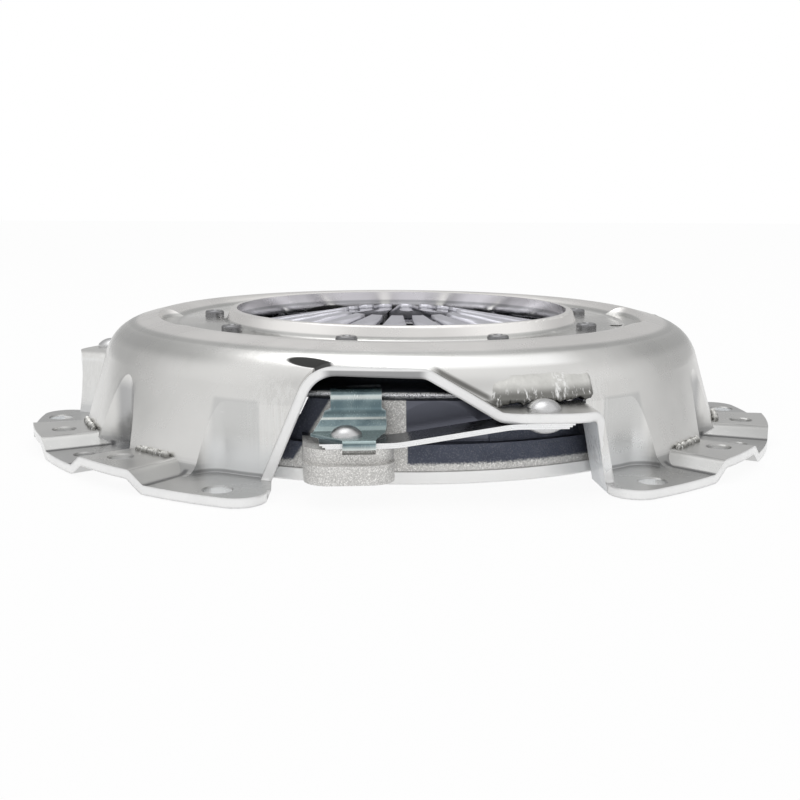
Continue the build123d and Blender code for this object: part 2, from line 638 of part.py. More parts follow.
def shelf_rivet():
    """Rivet that holds the strap pack under the cover's shelf."""
    under = SHELF_UNDER_Z - PACK - SEAT
    shank_top = SHELF_TOP_Z + SEAT
    shank = Pos(0, 0, (under + shank_top) / 2) * Cylinder(STRAP_SHANK, shank_top - under)
    head = Pos(0, 0, shank_top) * domed(*SHELF_HEAD)
    tail = Pos(0, 0, under) * (Rot(180, 0, 0) * domed(*SHELF_TAIL))
    return Pos(SHELF_RIVET_X, -STRAP_D, 0) * (shank + head + tail).solid()


def lug_rivet():
    """Rivet that holds the clip and the strap pack on the lug."""
    top = CLIP_BASE_Z + CLIP_T + SEAT
    under = LUG_UNDER_Z - SEAT
    shank = Pos(0, 0, (top + under) / 2) * Cylinder(STRAP_SHANK, top - under)
    head = Pos(0, 0, top) * domed(*LUG_HEAD)
    tail = Pos(0, 0, under) * (Rot(180, 0, 0) * domed(*LUG_TAIL))
    return Pos(LUG_RIVET_X, -STRAP_D, 0) * (shank + head + tail).solid()


def retracting_clip():
    """Bent sheet that hooks over the spring's rim so that the spring lifts the plate."""
    hook_z = HOOK_UNDER_Z + CLIP_T
    base_z = CLIP_BASE_Z + CLIP_T
    tab_d = STRAP_D + STRAP_WIDTH / 2 + CLIP_TAB_BEND + SEAT
    profile = [
        (CLIP_WALL_D - CLIP_HOOK, hook_z),
        (CLIP_WALL_D + CLIP_T, hook_z),
        (CLIP_WALL_D + CLIP_T, CLIP_KNEE_Z),
        (CLIP_BASE_D, base_z),
        (tab_d + CLIP_T, base_z),
        (tab_d + CLIP_T, base_z - CLIP_TAB_DROP),
    ]
    bends = [CLIP_BEND + CLIP_T, 3 * CLIP_BEND, CLIP_BEND, CLIP_TAB_BEND + CLIP_T]
    sheet = bent_strip(profile, bends, CLIP_T)
    left, right = CLIP_KNEE_X[0] - 2 * OVERRUN, CLIP_KNEE_X[1] + OVERRUN
    bent = extrude(sheet, amount=right - left, dir=(0, 1, 0))
    bent = Pos(left, 0, 0) * (Rot(0, 0, -90) * bent)
    split_y, wall_y = CLIP_SPLIT - CLIP_BASE_D, -CLIP_WALL_D - CLIP_T
    hook_y, neck_y, tab_y = wall_y + CLIP_HOOK + 2 * OVERRUN, CLIP_NECK - tab_d, -tab_d - OVERRUN
    upper = make_face(Polyline(
        (CLIP_TOP_X[0], hook_y), (CLIP_TOP_X[0], wall_y), (CLIP_KNEE_X[0], split_y),
        (CLIP_KNEE_X[1], split_y), (CLIP_TOP_X[1], wall_y), (CLIP_TOP_X[1], hook_y), close=True))
    lower = make_face(Polyline(
        (CLIP_KNEE_X[0], split_y), (CLIP_KNEE_X[0] - CLIP_EAR[0], split_y - CLIP_EAR[1]),
        (CLIP_TAB_X[0], neck_y), (CLIP_TAB_X[0], tab_y), (CLIP_TAB_X[1], tab_y),
        (CLIP_TAB_X[1], neck_y), (CLIP_KNEE_X[1], split_y - CLIP_SHOULDER), (CLIP_KNEE_X[1], split_y),
        close=True))
    outline = extrude(upper + lower, amount=LARGE, dir=(0, 0, 1))
    hole = Pos(LUG_RIVET_X, -STRAP_D, 0) * Cylinder(STRAP_SHANK + SEAT, 2 * LARGE)
    return cut(bent & outline, [hole])


# ---------------------------------------------------------------- writing
def build():
    """Every node of the part, by name."""
    nodes = {
        "cover": cover(),
        "diaphragm_spring": diaphragm_spring(),
        "upper_pivot_ring": pivot_ring(UPPER_RING_Z),
        "lower_pivot_ring": pivot_ring(LOWER_RING_Z),
        "pressure_plate": pressure_plate(),
    }
    for i, angle in enumerate(rivet_angles(), start=1):
        nodes[f"fulcrum_rivet_{i}"] = fulcrum_rivet(angle)
    layers = ("upper", "middle", "lower")
    for layer, name in enumerate(layers[:LEAVES]):
        for i, leaf in enumerate(thirds(drive_leaf(layer)), start=1):
            nodes[f"drive_strap_{i}_{name}_leaf"] = leaf
    for name, solid in (
        ("retracting_clip", retracting_clip()),
        ("shelf_rivet", shelf_rivet()),
        ("lug_rivet", lug_rivet()),
    ):
        for i, copy in enumerate(thirds(solid), start=1):
            nodes[f"{name}_{i}"] = copy
    return nodes


os.makedirs("parts", exist_ok=True)
for node, solid in build().items():
    export_step(solid, f"parts/{node}.step")
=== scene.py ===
"""Looks for the diaphragm-spring clutch cover assembly: pressed steel, spring steel, zinc, cast iron."""
import math

import bmesh
import bpy
from mathutils import Matrix, Vector
from mathutils.kdtree import KDTree


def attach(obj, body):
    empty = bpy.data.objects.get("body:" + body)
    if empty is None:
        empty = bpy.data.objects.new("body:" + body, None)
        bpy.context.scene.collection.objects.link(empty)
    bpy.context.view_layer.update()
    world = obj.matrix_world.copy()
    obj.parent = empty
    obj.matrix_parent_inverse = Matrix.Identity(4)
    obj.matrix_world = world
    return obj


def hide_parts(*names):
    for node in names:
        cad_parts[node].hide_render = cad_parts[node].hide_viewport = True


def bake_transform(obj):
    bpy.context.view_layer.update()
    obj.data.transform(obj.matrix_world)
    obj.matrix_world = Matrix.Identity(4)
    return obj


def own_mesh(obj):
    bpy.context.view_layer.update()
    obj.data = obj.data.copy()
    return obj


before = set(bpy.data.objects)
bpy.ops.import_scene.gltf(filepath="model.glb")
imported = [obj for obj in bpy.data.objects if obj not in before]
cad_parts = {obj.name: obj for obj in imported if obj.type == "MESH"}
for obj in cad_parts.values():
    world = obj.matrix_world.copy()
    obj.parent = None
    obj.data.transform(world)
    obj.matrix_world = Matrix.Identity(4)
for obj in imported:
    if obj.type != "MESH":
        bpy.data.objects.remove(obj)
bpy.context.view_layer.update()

MM = 0.001
COVER_BODY, PLATE_BODY = "cover_body", "plate_body"
SECTORS = 3
PITCH = 2 * math.pi / SECTORS
MERGE_DISTANCE = 0.002 * MM


# ---------------------------------------------------------------- working by hand
def deselect_all():
    if bpy.context.object and bpy.context.object.mode != "OBJECT":
        bpy.ops.object.mode_set(mode="OBJECT")
    bpy.ops.object.select_all(action="DESELECT")


def pick(piece):
    """Makes one piece the only selected and active one."""
    deselect_all()
    piece.hide_set(False)
    piece.select_set(True)
    bpy.context.view_layer.objects.active = piece


def edit_all(piece):
    """Opens a piece in edit mode with its whole mesh selected."""
    pick(piece)
    bpy.ops.object.mode_set(mode="EDIT")
    bpy.ops.mesh.select_all(action="SELECT")


def end_edit():
    bpy.ops.object.mode_set(mode="OBJECT")


def copy_of(node, name):
    """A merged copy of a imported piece, to be finished by hand."""
    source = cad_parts[node]
    piece = source.copy()
    piece.data = source.data.copy()
    for key in list(piece.keys()):
        del piece[key]
    piece.name = piece.data.name = name
    bpy.context.scene.collection.objects.link(piece)
    piece.parent = None
    piece.matrix_world = Matrix.Identity(4)
    edit_all(piece)
    bpy.ops.mesh.customdata_custom_splitnormals_clear()
    bpy.ops.mesh.remove_doubles(threshold=MERGE_DISTANCE)
    end_edit()
    return piece


def keep_cad_normals(piece, node):
    """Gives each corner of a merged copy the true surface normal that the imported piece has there."""
    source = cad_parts[node].data
    true_normals = [n.vector.copy() for n in source.corner_normals]
    tree = KDTree(len(source.polygons))
    for face in source.polygons:
        tree.insert(face.center, face.index)
    tree.balance()
    normals = [Vector((0, 0, 1))] * len(piece.data.loops)
    for face in piece.data.polygons:
        match = source.polygons[tree.find(face.center)[1]]
        corners = [(source.vertices[source.loops[i].vertex_index].co, i) for i in match.loop_indices]
        for i in face.loop_indices:
            place = piece.data.vertices[piece.data.loops[i].vertex_index].co
            nearest = min(corners, key=lambda corner: (corner[0] - place).length_squared)
            normals[i] = true_normals[nearest[1]]
    piece.data.normals_split_custom_set(normals)


def new_grid(name, across, up):
    """A flat grid of faces to be shaped, which runs from -1 to 1 metre both ways."""
    deselect_all()
    bpy.ops.mesh.primitive_grid_add(x_subdivisions=across, y_subdivisions=up, size=2)
    grid = bpy.context.object
    grid.name = grid.data.name = name
    return grid


def middle_face(grid, across, up):
    return grid.data.polygons[across * up // 2]


def smooth(piece, degrees=32):
    pick(piece)
    bpy.ops.object.shade_smooth_by_angle(angle=math.radians(degrees))


def settle(piece):
    """Puts the piece's place into its mesh, and leaves its object at the origin."""
    pick(piece)
    bpy.ops.object.transform_apply(location=True, rotation=True, scale=True)


def paint(piece, *materials):
    piece.data.materials.clear()
    for material in materials:
        piece.data.materials.append(material)


# ---------------------------------------------------------------- places
def in_window(point):
    """Sideways place and outward distance in the frame of the nearest window, both in millimetres."""
    angle = math.atan2(point.x, -point.y)
    angle -= PITCH * round(angle / PITCH)
    radius = math.hypot(point.x, point.y) / MM
    return radius * math.sin(angle), radius * math.cos(angle)


def window_point(side, out, height, index):
    """Point given in millimetres in the frame of one window."""
    turn = Matrix.Rotation(PITCH * index, 4, "Z")
    return turn @ (Vector((side, -out, height)) * MM)


def round_point(radius, swing, height, index):
    """Point given by radius and height in millimetres and by degrees of swing from one window's middle."""
    turn = math.radians(swing) + PITCH * index
    return Vector((radius * math.sin(turn), -radius * math.cos(turn), height)) * MM


def along_outline(outline, place):
    """Second value of an outline at a place along its first, straight between and past its points."""
    for (a0, b0), (a1, b1) in zip(outline, outline[1:]):
        if place <= a1:
            break
    return b0 + (b1 - b0) * (place - a0) / (a1 - a0)


def eased(share):
    return share * share * (3 - 2 * share)


def wave(x, seed):
    """Uneven wave between -1 and 1."""
    swell = math.sin(x * 1.7 + seed)
    ripple = math.sin(x * 3.1 + 2.3 * seed) * 0.6
    tremor = math.sin(x * 6.7 + seed * 4.1) * 0.35
    return (swell + ripple + tremor) / 1.95


# ---------------------------------------------------------------- shader building
# a fade is a pair of values, where a mask is 0 and where it is 1
# a band is the lower and upper limit between which a mask is 1, and half the width of its soft border
def wire(tree, source, target):
    tree.links.new(source, target)


def set_inputs(tree, node, values):
    """Joins or sets inputs by socket name or number."""
    for key, value in values.items():
        socket = node.inputs[key]
        if isinstance(value, bpy.types.NodeSocket):
            wire(tree, value, socket)
        else:
            socket.default_value = value


def add(tree, kind, **values):
    """A shader node with its properties, and its inputs by socket name or number."""
    node = tree.nodes.new(kind)
    inputs = values.pop("inputs", {})
    for name, value in values.items():
        setattr(node, name, value)
    set_inputs(tree, node, inputs)
    return node


def use(tree, group, **inputs):
    """A node group in a material, with its inputs by socket name: returns its outputs."""
    node = tree.nodes.new("ShaderNodeGroup")
    node.node_tree = group
    set_inputs(tree, node, {name.replace("_", " "): value for name, value in inputs.items()})
    return node.outputs


def calc(tree, operation, a, b=0.0):
    return add(tree, "ShaderNodeMath", operation=operation, inputs={0: a, 1: b}).outputs[0]


def vector_calc(tree, operation, a, b=(0.0, 0.0, 0.0)):
    return add(tree, "ShaderNodeVectorMath", operation=operation, inputs={0: a, 1: b}).outputs


def plus(tree, first, *others):
    """Sum of values."""
    for other in others:
        first = calc(tree, "ADD", first, other)
    return first


def times(tree, first, *others):
    """Product of masks and shares."""
    for other in others:
        first = calc(tree, "MULTIPLY", first, other)
    return first


def strongest(tree, first, *others):
    """Greatest of several masks."""
    for other in others:
        first = calc(tree, "MAXIMUM", first, other)
    return first


def ramp(tree, value, low, high, from_value=0.0, to_value=1.0):
    """Smooth step between two values."""
    node = add(tree, "ShaderNodeMapRange", interpolation_type="SMOOTHSTEP", inputs={
        "Value": value, "From Min": low, "From Max": high, "To Min": from_value, "To Max": to_value})
    return node.outputs["Result"]


def uneven(tree, noise, low, high):
    """A value that drifts between two with a noise."""
    noise_low, noise_high = 0.3, 0.7
    return ramp(tree, noise, noise_low, noise_high, low, high)


def change(tree, mask, outside, inside):
    """A value that turns from one to another by a mask."""
    return ramp(tree, mask, 0.0, 1.0, outside, inside)


def band_mask(tree, value, low, high, soft):
    """1 between two limits, fading over a soft border."""
    return times(tree, ramp(tree, value, low - soft, low + soft), ramp(tree, value, high + soft, high - soft))


def oval_mask(tree, across, up, length, width):
    """1 inside a long flat oval, fading at its rim."""
    a = calc(tree, "POWER", calc(tree, "DIVIDE", across, length), 2.0)
    b = calc(tree, "POWER", calc(tree, "DIVIDE", up, width), 2.0)
    return ramp(tree, plus(tree, a, b), 1.25, 0.75)


def mix(tree, factor, a, b):
    return add(tree, "ShaderNodeMix", data_type="RGBA", inputs={0: factor, 6: a, 7: b}).outputs[2]


def between(tree, mask, dark, light):
    """Tone between two plain tones."""
    return mix(tree, mask, (*dark, 1), (*light, 1))


def tint(tree, tone, colour, *masks):
    """The tone, turned to a plain colour by the product of the masks."""
    return mix(tree, times(tree, *masks), tone, (*colour, 1))


def object_place(tree):
    return add(tree, "ShaderNodeTexCoord").outputs["Object"]


def split(tree, vector):
    return add(tree, "ShaderNodeSeparateXYZ", inputs={0: vector}).outputs


def upness(tree, kind="Normal"):
    """How far the surface faces up, from -1 to 1."""
    return split(tree, add(tree, "ShaderNodeNewGeometry").outputs[kind])[2]


def per_size(tree, size):
    """Texture scale that gives a feature a size in millimetres."""
    return calc(tree, "DIVIDE", 1 / MM, size)


def new_group(name, inputs, outputs):
    """Empty node group with inputs as {name: (kind, default)} and outputs as {name: kind}."""
    tree = bpy.data.node_groups.new(name, "ShaderNodeTree")
    for label, (kind, default) in inputs.items():
        socket = tree.interface.new_socket(label, in_out="INPUT", socket_type=kind)
        socket.default_value = default
    for label, kind in outputs.items():
        tree.interface.new_socket(label, in_out="OUTPUT", socket_type=kind)
    return tree, tree.nodes.new("NodeGroupInput").outputs, tree.nodes.new("NodeGroupOutput").inputs


FLOAT, VECTOR = "NodeSocketFloat", "NodeSocketVector"


def make_sector_group():
    """Place in the frame of the nearest window, in millimetres, and how far the surface faces up and out."""
    labels = ("Side", "Out", "Height", "Radius", "Angle", "Up", "Facing")
    tree, _, end = new_group("window place", {}, dict.fromkeys(labels, FLOAT))
    parts = split(tree, object_place(tree))
    angle = calc(tree, "ARCTAN2", parts[0], times(tree, parts[1], -1.0))
    turns = calc(tree, "ROUND", calc(tree, "DIVIDE", angle, PITCH))
    angle = calc(tree, "SUBTRACT", angle, times(tree, turns, PITCH))
    flat = add(tree, "ShaderNodeCombineXYZ", inputs={0: parts[0], 1: parts[1], 2: 0.0}).outputs[0]
    radius = times(tree, vector_calc(tree, "LENGTH", flat)["Value"], 1 / MM)
    wire(tree, times(tree, radius, calc(tree, "SINE", angle)), end["Side"])
    wire(tree, times(tree, radius, calc(tree, "COSINE", angle)), end["Out"])
    wire(tree, times(tree, parts[2], 1 / MM), end["Height"])
    wire(tree, radius, end["Radius"])
    wire(tree, calc(tree, "DEGREES", angle), end["Angle"])
    wire(tree, upness(tree, "True Normal"), end["Up"])
    normal = add(tree, "ShaderNodeNewGeometry").outputs["True Normal"]
    outward = vector_calc(tree, "NORMALIZE", flat)[0]
    wire(tree, vector_calc(tree, "DOT_PRODUCT", normal, outward)["Value"], end["Facing"])
    return tree


def make_mottle_group():
    """Uneven tone of worked metal: broad clouds and a fine grain stretched along one direction."""
    tree, start, end = new_group(
        "mottle", {"Cloud size": (FLOAT, 20.0), "Grain size": (FLOAT, 0.6),
                   "Stretch": (VECTOR, (1.0, 1.0, 1.0))},
        {"Cloud": FLOAT, "Grain": FLOAT})
    place = object_place(tree)
    cloud = add(tree, "ShaderNodeTexNoise", inputs={
        "Vector": place, "Scale": per_size(tree, start["Cloud size"]), "Detail": 3.0, "Roughness": 0.55})
    grain = add(tree, "ShaderNodeTexNoise", inputs={
        "Vector": vector_calc(tree, "MULTIPLY", place, start["Stretch"])[0],
        "Scale": per_size(tree, start["Grain size"]), "Detail": 4.0, "Roughness": 0.65})
    wire(tree, cloud.outputs["Fac"], end["Cloud"])
    wire(tree, grain.outputs["Fac"], end["Grain"])
    return tree


def make_scratch_group():
    """Thin straight marks, sparse, along one direction."""
    tree, start, end = new_group(
        "scratches", {"Length": (FLOAT, 12.0), "Width": (FLOAT, 0.25), "Share": (FLOAT, 0.3),
                      "Turn": (FLOAT, 0.0)},
        {"Mask": FLOAT})
    sparse, share_reach, edge_width = 0.78, 0.3, 0.06
    turned = add(tree, "ShaderNodeVectorRotate", rotation_type="Z_AXIS",
                 inputs={"Vector": object_place(tree), "Angle": start["Turn"]}).outputs[0]
    along = per_size(tree, start["Length"])
    across = per_size(tree, start["Width"])
    size = add(tree, "ShaderNodeCombineXYZ", inputs={0: along, 1: across, 2: across}).outputs[0]
    noise = add(tree, "ShaderNodeTexNoise", inputs={
        "Vector": vector_calc(tree, "MULTIPLY", turned, size)[0], "Scale": 1.0, "Detail": 1.0})
    edge = calc(tree, "SUBTRACT", sparse, times(tree, start["Share"], share_reach))
    mask = add(tree, "ShaderNodeMapRange", inputs={
        "Value": noise.outputs["Fac"], "From Min": edge, "From Max": plus(tree, edge, edge_width)})
    wire(tree, mask.outputs["Result"], end["Mask"])
    return tree


def make_edge_group():
    """Mask of sharp outer edges, where handling polishes metal."""
    tree, start, end = new_group("edge wear", {"Width": (FLOAT, 0.5)}, {"Mask": FLOAT})
    rounded = add(tree, "ShaderNodeBevel", samples=4, inputs={"Radius": times(tree, start["Width"], MM)})
    flat = add(tree, "ShaderNodeNewGeometry").outputs["Normal"]
    same = vector_calc(tree, "DOT_PRODUCT", rounded.outputs[0], flat)["Value"]
    wire(tree, ramp(tree, same, 0.995, 0.86), end["Mask"])
    return tree


def make_sand_group():
    """Skin of a sand casting: grains, lumps and glitter."""
    tree, start, end = new_group(
        "sand skin", {"Grain size": (FLOAT, 0.7)}, {"Height": FLOAT, "Glitter": FLOAT})
    lump_scale, grain_depth = 0.35, -0.6
    place = object_place(tree)
    scale = per_size(tree, start["Grain size"])
    grains = add(tree, "ShaderNodeTexVoronoi", inputs={
        "Vector": place, "Scale": scale, "Randomness": 1.0}).outputs
    lumps = add(tree, "ShaderNodeTexNoise", inputs={
        "Vector": place, "Scale": times(tree, scale, lump_scale), "Detail": 5.0, "Roughness": 0.7})
    height = plus(tree, times(tree, grains["Distance"], grain_depth), lumps.outputs["Fac"])
    wire(tree, height, end["Height"])
    tone = add(tree, "ShaderNodeSeparateColor", inputs={0: grains["Color"]}).outputs[0]
    wire(tree, ramp(tree, tone, 0.62, 0.9), end["Glitter"])
    return tree


SECTOR = make_sector_group()
MOTTLE = make_mottle_group()
SCRATCHES = make_scratch_group()
EDGES = make_edge_group()
SAND = make_sand_group()


def new_material(name, roughness=0.35, metallic=1.0):
    """Material with a Principled shader: returns the material, its tree and the shader."""
    material = bpy.data.materials.new(name)
    material.use_nodes = True
    tree = material.node_tree
    shader = tree.nodes["Principled BSDF"]
    shader.inputs["Metallic"].default_value = metallic
    shader.inputs["Roughness"].default_value = roughness
    return material, tree, shader


def bump(tree, shader, height, strength, distance_mm, under=None):
    node = add(tree, "ShaderNodeBump", inputs={
        "Height": height, "Strength": strength, "Distance": distance_mm * MM})
    if under:
        wire(tree, under.outputs[0], node.inputs["Normal"])
    wire(tree, node.outputs[0], shader.inputs["Normal"])
    return node


# ---------------------------------------------------------------- the cover's pressed steel
# heights, radii and places are in millimetres, and swings are in degrees from the middle of a window
FLANGE_TOP = (8.5, 7.0)
PAD_STEP = (5.6, 6.8)
JAMB_SWING = (22.0, 29.0, 3.0)
JAMB_HEIGHT = (10.0, 36.0, 4.0)
RAMP_FALL = 0.52


def lance_mark(tree, place):
    """Oval mark of a tool over the window's left corner."""
    middle_side, middle_height, lean = -40.2, 40.85, 0.06
    along = plus(tree, place["Side"], -middle_side)
    rise = plus(tree, calc(tree, "SUBTRACT", place["Height"], middle_height), times(tree, along, lean))
    return oval_mask(tree, along, rise, 7.6, 1.4)


def pocket_foot(tree, place, swing):
    """Lower part of the pocket beside a window, on the wall that looks outward."""
    foot_height, foot_swing = (18.0, 8.0), (19.0, 37.0, 1.0)
    steep, outward = (0.9, 0.7), (0.3, 0.6)
    return times(tree, ramp(tree, place["Height"], *foot_height), band_mask(tree, swing, *foot_swing),
                 ramp(tree, place["Up"], *steep), ramp(tree, place["Facing"], *outward))


def inner_jamb(tree, place, swing):
    """Inner side of the jambs, turned in from the wall."""
    inward, upright = (0.45, 0.15), (0.6, 0.4)
    jamb_swing, below_head = (19.0, 30.0, 1.0), (34.0, 30.0)
    return times(tree, ramp(tree, place["Facing"], *inward), band_mask(tree, swing, *jamb_swing),
                 ramp(tree, place["Height"], *below_head),
                 ramp(tree, calc(tree, "ABSOLUTE", place["Up"]), *upright))


def edge_fold(tree, place):
    """The fold where the wall turns out into the ramp of the window's edge."""
    fold_top, fold_band, fold_side = 39.6, (-1.4, 0.5, 0.7), (-1.0, 17.0, 2.0)
    on_wall, below_bend = (122.5, 119.0), (41.6, 40.4)
    line = calc(tree, "SUBTRACT", fold_top, times(tree, place["Side"], RAMP_FALL))
    return times(tree, band_mask(tree, calc(tree, "SUBTRACT", place["Height"], line), *fold_band),
                 band_mask(tree, place["Side"], *fold_side), ramp(tree, place["Out"], *on_wall),
                 ramp(tree, place["Height"], *below_bend))


def paint_crown_light_and_shade(tree, place, swing, tone):
    """Painted highlight on the crown over a line of painted shade that widens to the sides, and a painted
    highlight on the bend over the window.
    """
    crown, crown_line = (44.2, 44.8), (43.2, 44.3, 0.4)
    shaded, shaded_swing = (39.0, 43.6, 1.6), (30.0, 46.0)
    bend, bend_swing = (40.0, 42.9, 0.7), (28.0, 18.0)
    height = place["Height"]
    # painted highlight on the crown
    tone = tint(tree, tone, (0.93, 0.91, 0.89), ramp(tree, height, *crown), 0.85)
    # painted shade in a line under the crown and on the shoulders at the sides
    shade_under_crown = times(tree, band_mask(tree, height, *crown_line), 0.45)
    shade_at_sides = times(tree, band_mask(tree, height, *shaded), ramp(tree, swing, *shaded_swing), 0.4)
    tone = tint(tree, tone, (0.33, 0.335, 0.325), strongest(tree, shade_under_crown, shade_at_sides))
    # painted highlight on the bend over the window
    painted_highlight = times(tree, band_mask(tree, height, *bend), ramp(tree, swing, *bend_swing))
    return tint(tree, tone, (0.98, 0.98, 0.97), painted_highlight, 0.9)


def paint_pocket_light_and_shade(tree, place, swing, low_pocket, tone):
    """Painted shade in the bolt pocket, with a painted shadow line at its edge and painted light on its foot,
    and painted shade in the valley between the dowel pads.
    """
    pocket, pocket_swing = (4.0, 28.4, 0.7), (28.3, 36.6, 0.5)
    edge, edge_swing = (5.0, 28.0, 2.0), (28.2, 28.6, 0.3)
    valley, valley_swing, valley_radius = (30.0, 24.0), (55.6, 57.6), (125.0, 123.0)
    height = place["Height"]
    # painted shade in the bolt pocket, and a painted shadow line along its edge
    darkened = times(tree, band_mask(tree, swing, *pocket_swing), band_mask(tree, height, *pocket), 0.32)
    line = times(tree, band_mask(tree, swing, *edge_swing), band_mask(tree, height, *edge), 0.5)
    tone = tint(tree, tone, (0.36, 0.375, 0.38), strongest(tree, darkened, line))
    # painted light on the pocket's foot
    tone = tint(tree, tone, (0.88, 0.895, 0.90), low_pocket, 0.8)
    # painted shade in the valley between the dowel pads
    in_valley = times(tree, ramp(tree, swing, *valley_swing), ramp(tree, height, *valley),
                      ramp(tree, place["Radius"], *valley_radius))
    return tint(tree, tone, (0.26, 0.265, 0.275), in_valley, 0.62)


def paint_flange_shade(tree, place, swing, flange, tone):
    """Painted shade on the ramps between the flange's pads, and painted shade in a crease at each foot and
    along the foot of the wall.
    """
    leaning, not_upright, outside_wall = (0.985, 0.95), (0.3, 0.6), (126.0, 128.0)
    near_foot, far_foot = (38.6, 39.5, 0.3), (55.1, 56.0, 0.3)
    foot_radius, foot_height = (122.0, 124.0), (5.0, 4.2)
    wall_foot, wall_swing = (3.3, 4.4, 0.4), (40.5, 38.5)
    wall_radius, wall_lean = (130.0, 128.0), (0.98, 0.9)
    up, height, radius = place["Up"], place["Height"], place["Radius"]
    # painted shade on the ramps between the pads
    slope = times(tree, ramp(tree, up, *leaning), ramp(tree, up, *not_upright), flange,
                  ramp(tree, radius, *outside_wall))
    tone = tint(tree, tone, (0.30, 0.30, 0.295), slope, 0.7)
    # painted shade in the creases at the ramps' feet and along the foot of the wall
    feet = strongest(tree, band_mask(tree, swing, *near_foot), band_mask(tree, swing, *far_foot))
    feet = times(tree, feet, ramp(tree, radius, *foot_radius), ramp(tree, height, *foot_height), 0.8)
    along_wall = times(tree, band_mask(tree, height, *wall_foot), ramp(tree, swing, *wall_swing),
                       ramp(tree, up, *wall_lean), ramp(tree, radius, *wall_radius), 0.6)
    return tint(tree, tone, (0.10, 0.10, 0.105), strongest(tree, feet, along_wall))


def make_cover_steel():
    """Bright pressed steel, a little rougher on the flange: painted shade on the flange, its ramps, folds and
    pockets, and painted highlights on its crown and bends.
    """
    material, tree, shader = new_material("bright pressed steel")
    place = use(tree, SECTOR)
    swing = calc(tree, "ABSOLUTE", place["Angle"])
    mottle = use(tree, MOTTLE, Cloud_size=34.0, Grain_size=0.5)
    streak = use(tree, MOTTLE, Cloud_size=9.0, Grain_size=1.1, Stretch=(1.0, 1.0, 0.06))
    marks = use(tree, SCRATCHES, Length=9.0, Width=0.3, Share=0.12, Turn=0.5)["Mask"]
    jamb = times(tree, band_mask(tree, swing, *JAMB_SWING), band_mask(tree, place["Height"], *JAMB_HEIGHT))
    brushed = times(tree, jamb, ramp(tree, streak["Grain"], 0.42, 0.62))
    flange = ramp(tree, place["Height"], *FLANGE_TOP)
    low_pocket = pocket_foot(tree, place, swing)
    inside = inner_jamb(tree, place, swing)
    lance = lance_mark(tree, place)

    tone = between(tree, mottle["Cloud"], (0.62, 0.615, 0.60), (0.80, 0.795, 0.78))
    # painted shade on the flange's top, deeper on the low pads than on the raised ones
    tone = tint(tree, tone, (0.43, 0.435, 0.44), flange, ramp(tree, place["Height"], *PAD_STEP, 0.6, 0.2))
    tone = paint_crown_light_and_shade(tree, place, swing, tone)
    tone = paint_pocket_light_and_shade(tree, place, swing, low_pocket, tone)
    tone = paint_flange_shade(tree, place, swing, flange, tone)
    tone = tint(tree, tone, (0.9, 0.9, 0.89), brushed, 0.3)
    tone = tint(tree, tone, (0.9, 0.9, 0.89), marks, 0.55)
    # painted shade in the fold where the wall turns out into the window edge's ramp
    tone = tint(tree, tone, (0.10, 0.098, 0.09), edge_fold(tree, place), 0.85)
    # the tool mark is painted near black, as painted shade inside its recess
    tone = tint(tree, tone, (0.02, 0.02, 0.018), lance)
    tone = tint(tree, tone, (0.90, 0.925, 0.95), inside, 0.95)
    wire(tree, tone, shader.inputs["Base Color"])

    flat_toned = strongest(tree, lance, inside, times(tree, low_pocket, 0.6))
    wire(tree, change(tree, flat_toned, 1.0, 0.05), shader.inputs["Metallic"])
    rough = plus(tree, uneven(tree, mottle["Cloud"], 0.20, 0.30), times(tree, mottle["Grain"], 0.06),
                 times(tree, flange, 0.02), times(tree, lance, 0.45), times(tree, brushed, 0.1))
    wire(tree, rough, shader.inputs["Roughness"])

    broad = use(tree, MOTTLE, Cloud_size=16.0, Grain_size=3.0)
    under = bump(tree, shader, broad["Cloud"], strength=0.12, distance_mm=1.2)
    height = plus(tree, times(tree, mottle["Grain"], 0.5), times(tree, streak["Grain"], jamb, 1.6))
    height = calc(tree, "SUBTRACT", height, times(tree, lance, 6.0))
    bump(tree, shader, height, strength=0.16, distance_mm=0.12, under=under)
    return material


def make_sheared_steel():
    """Edge of the sheet as the press cut it, with rolled corners and drag marks."""
    head_side, head_height = (-36.0, -5.0, 2.0), (37.0, 39.8, 0.25)
    rolled_radius = 1.5 * MM
    material, tree, shader = new_material("sheared steel edge", 0.34, 0.5)
    place = use(tree, SECTOR)
    mottle = use(tree, MOTTLE, Cloud_size=7.0, Grain_size=0.25, Stretch=(1.0, 1.0, 0.3))
    drag = use(tree, MOTTLE, Cloud_size=3.0, Grain_size=0.7, Stretch=(1.0, 0.08, 1.0))
    tone = between(tree, mottle["Cloud"], (0.80, 0.80, 0.80), (0.93, 0.93, 0.925))
    tone = tint(tree, tone, (0.55, 0.55, 0.55), ramp(tree, mottle["Grain"], 0.6, 0.72, 0.0, 0.4))
    # the tool left the lower half of the window's head dull
    darkened = times(tree, band_mask(tree, place["Side"], *head_side),
                 band_mask(tree, place["Height"], *head_height))
    tone = tint(tree, tone, (0.24, 0.24, 0.245), darkened, 0.85)
    wire(tree, tone, shader.inputs["Base Color"])
    rolled = add(tree, "ShaderNodeBevel", samples=6, inputs={"Radius": rolled_radius})
    height = plus(tree, mottle["Grain"], times(tree, drag["Grain"], 0.8))
    bump(tree, shader, height, strength=0.3, distance_mm=0.15, under=rolled)
    return material


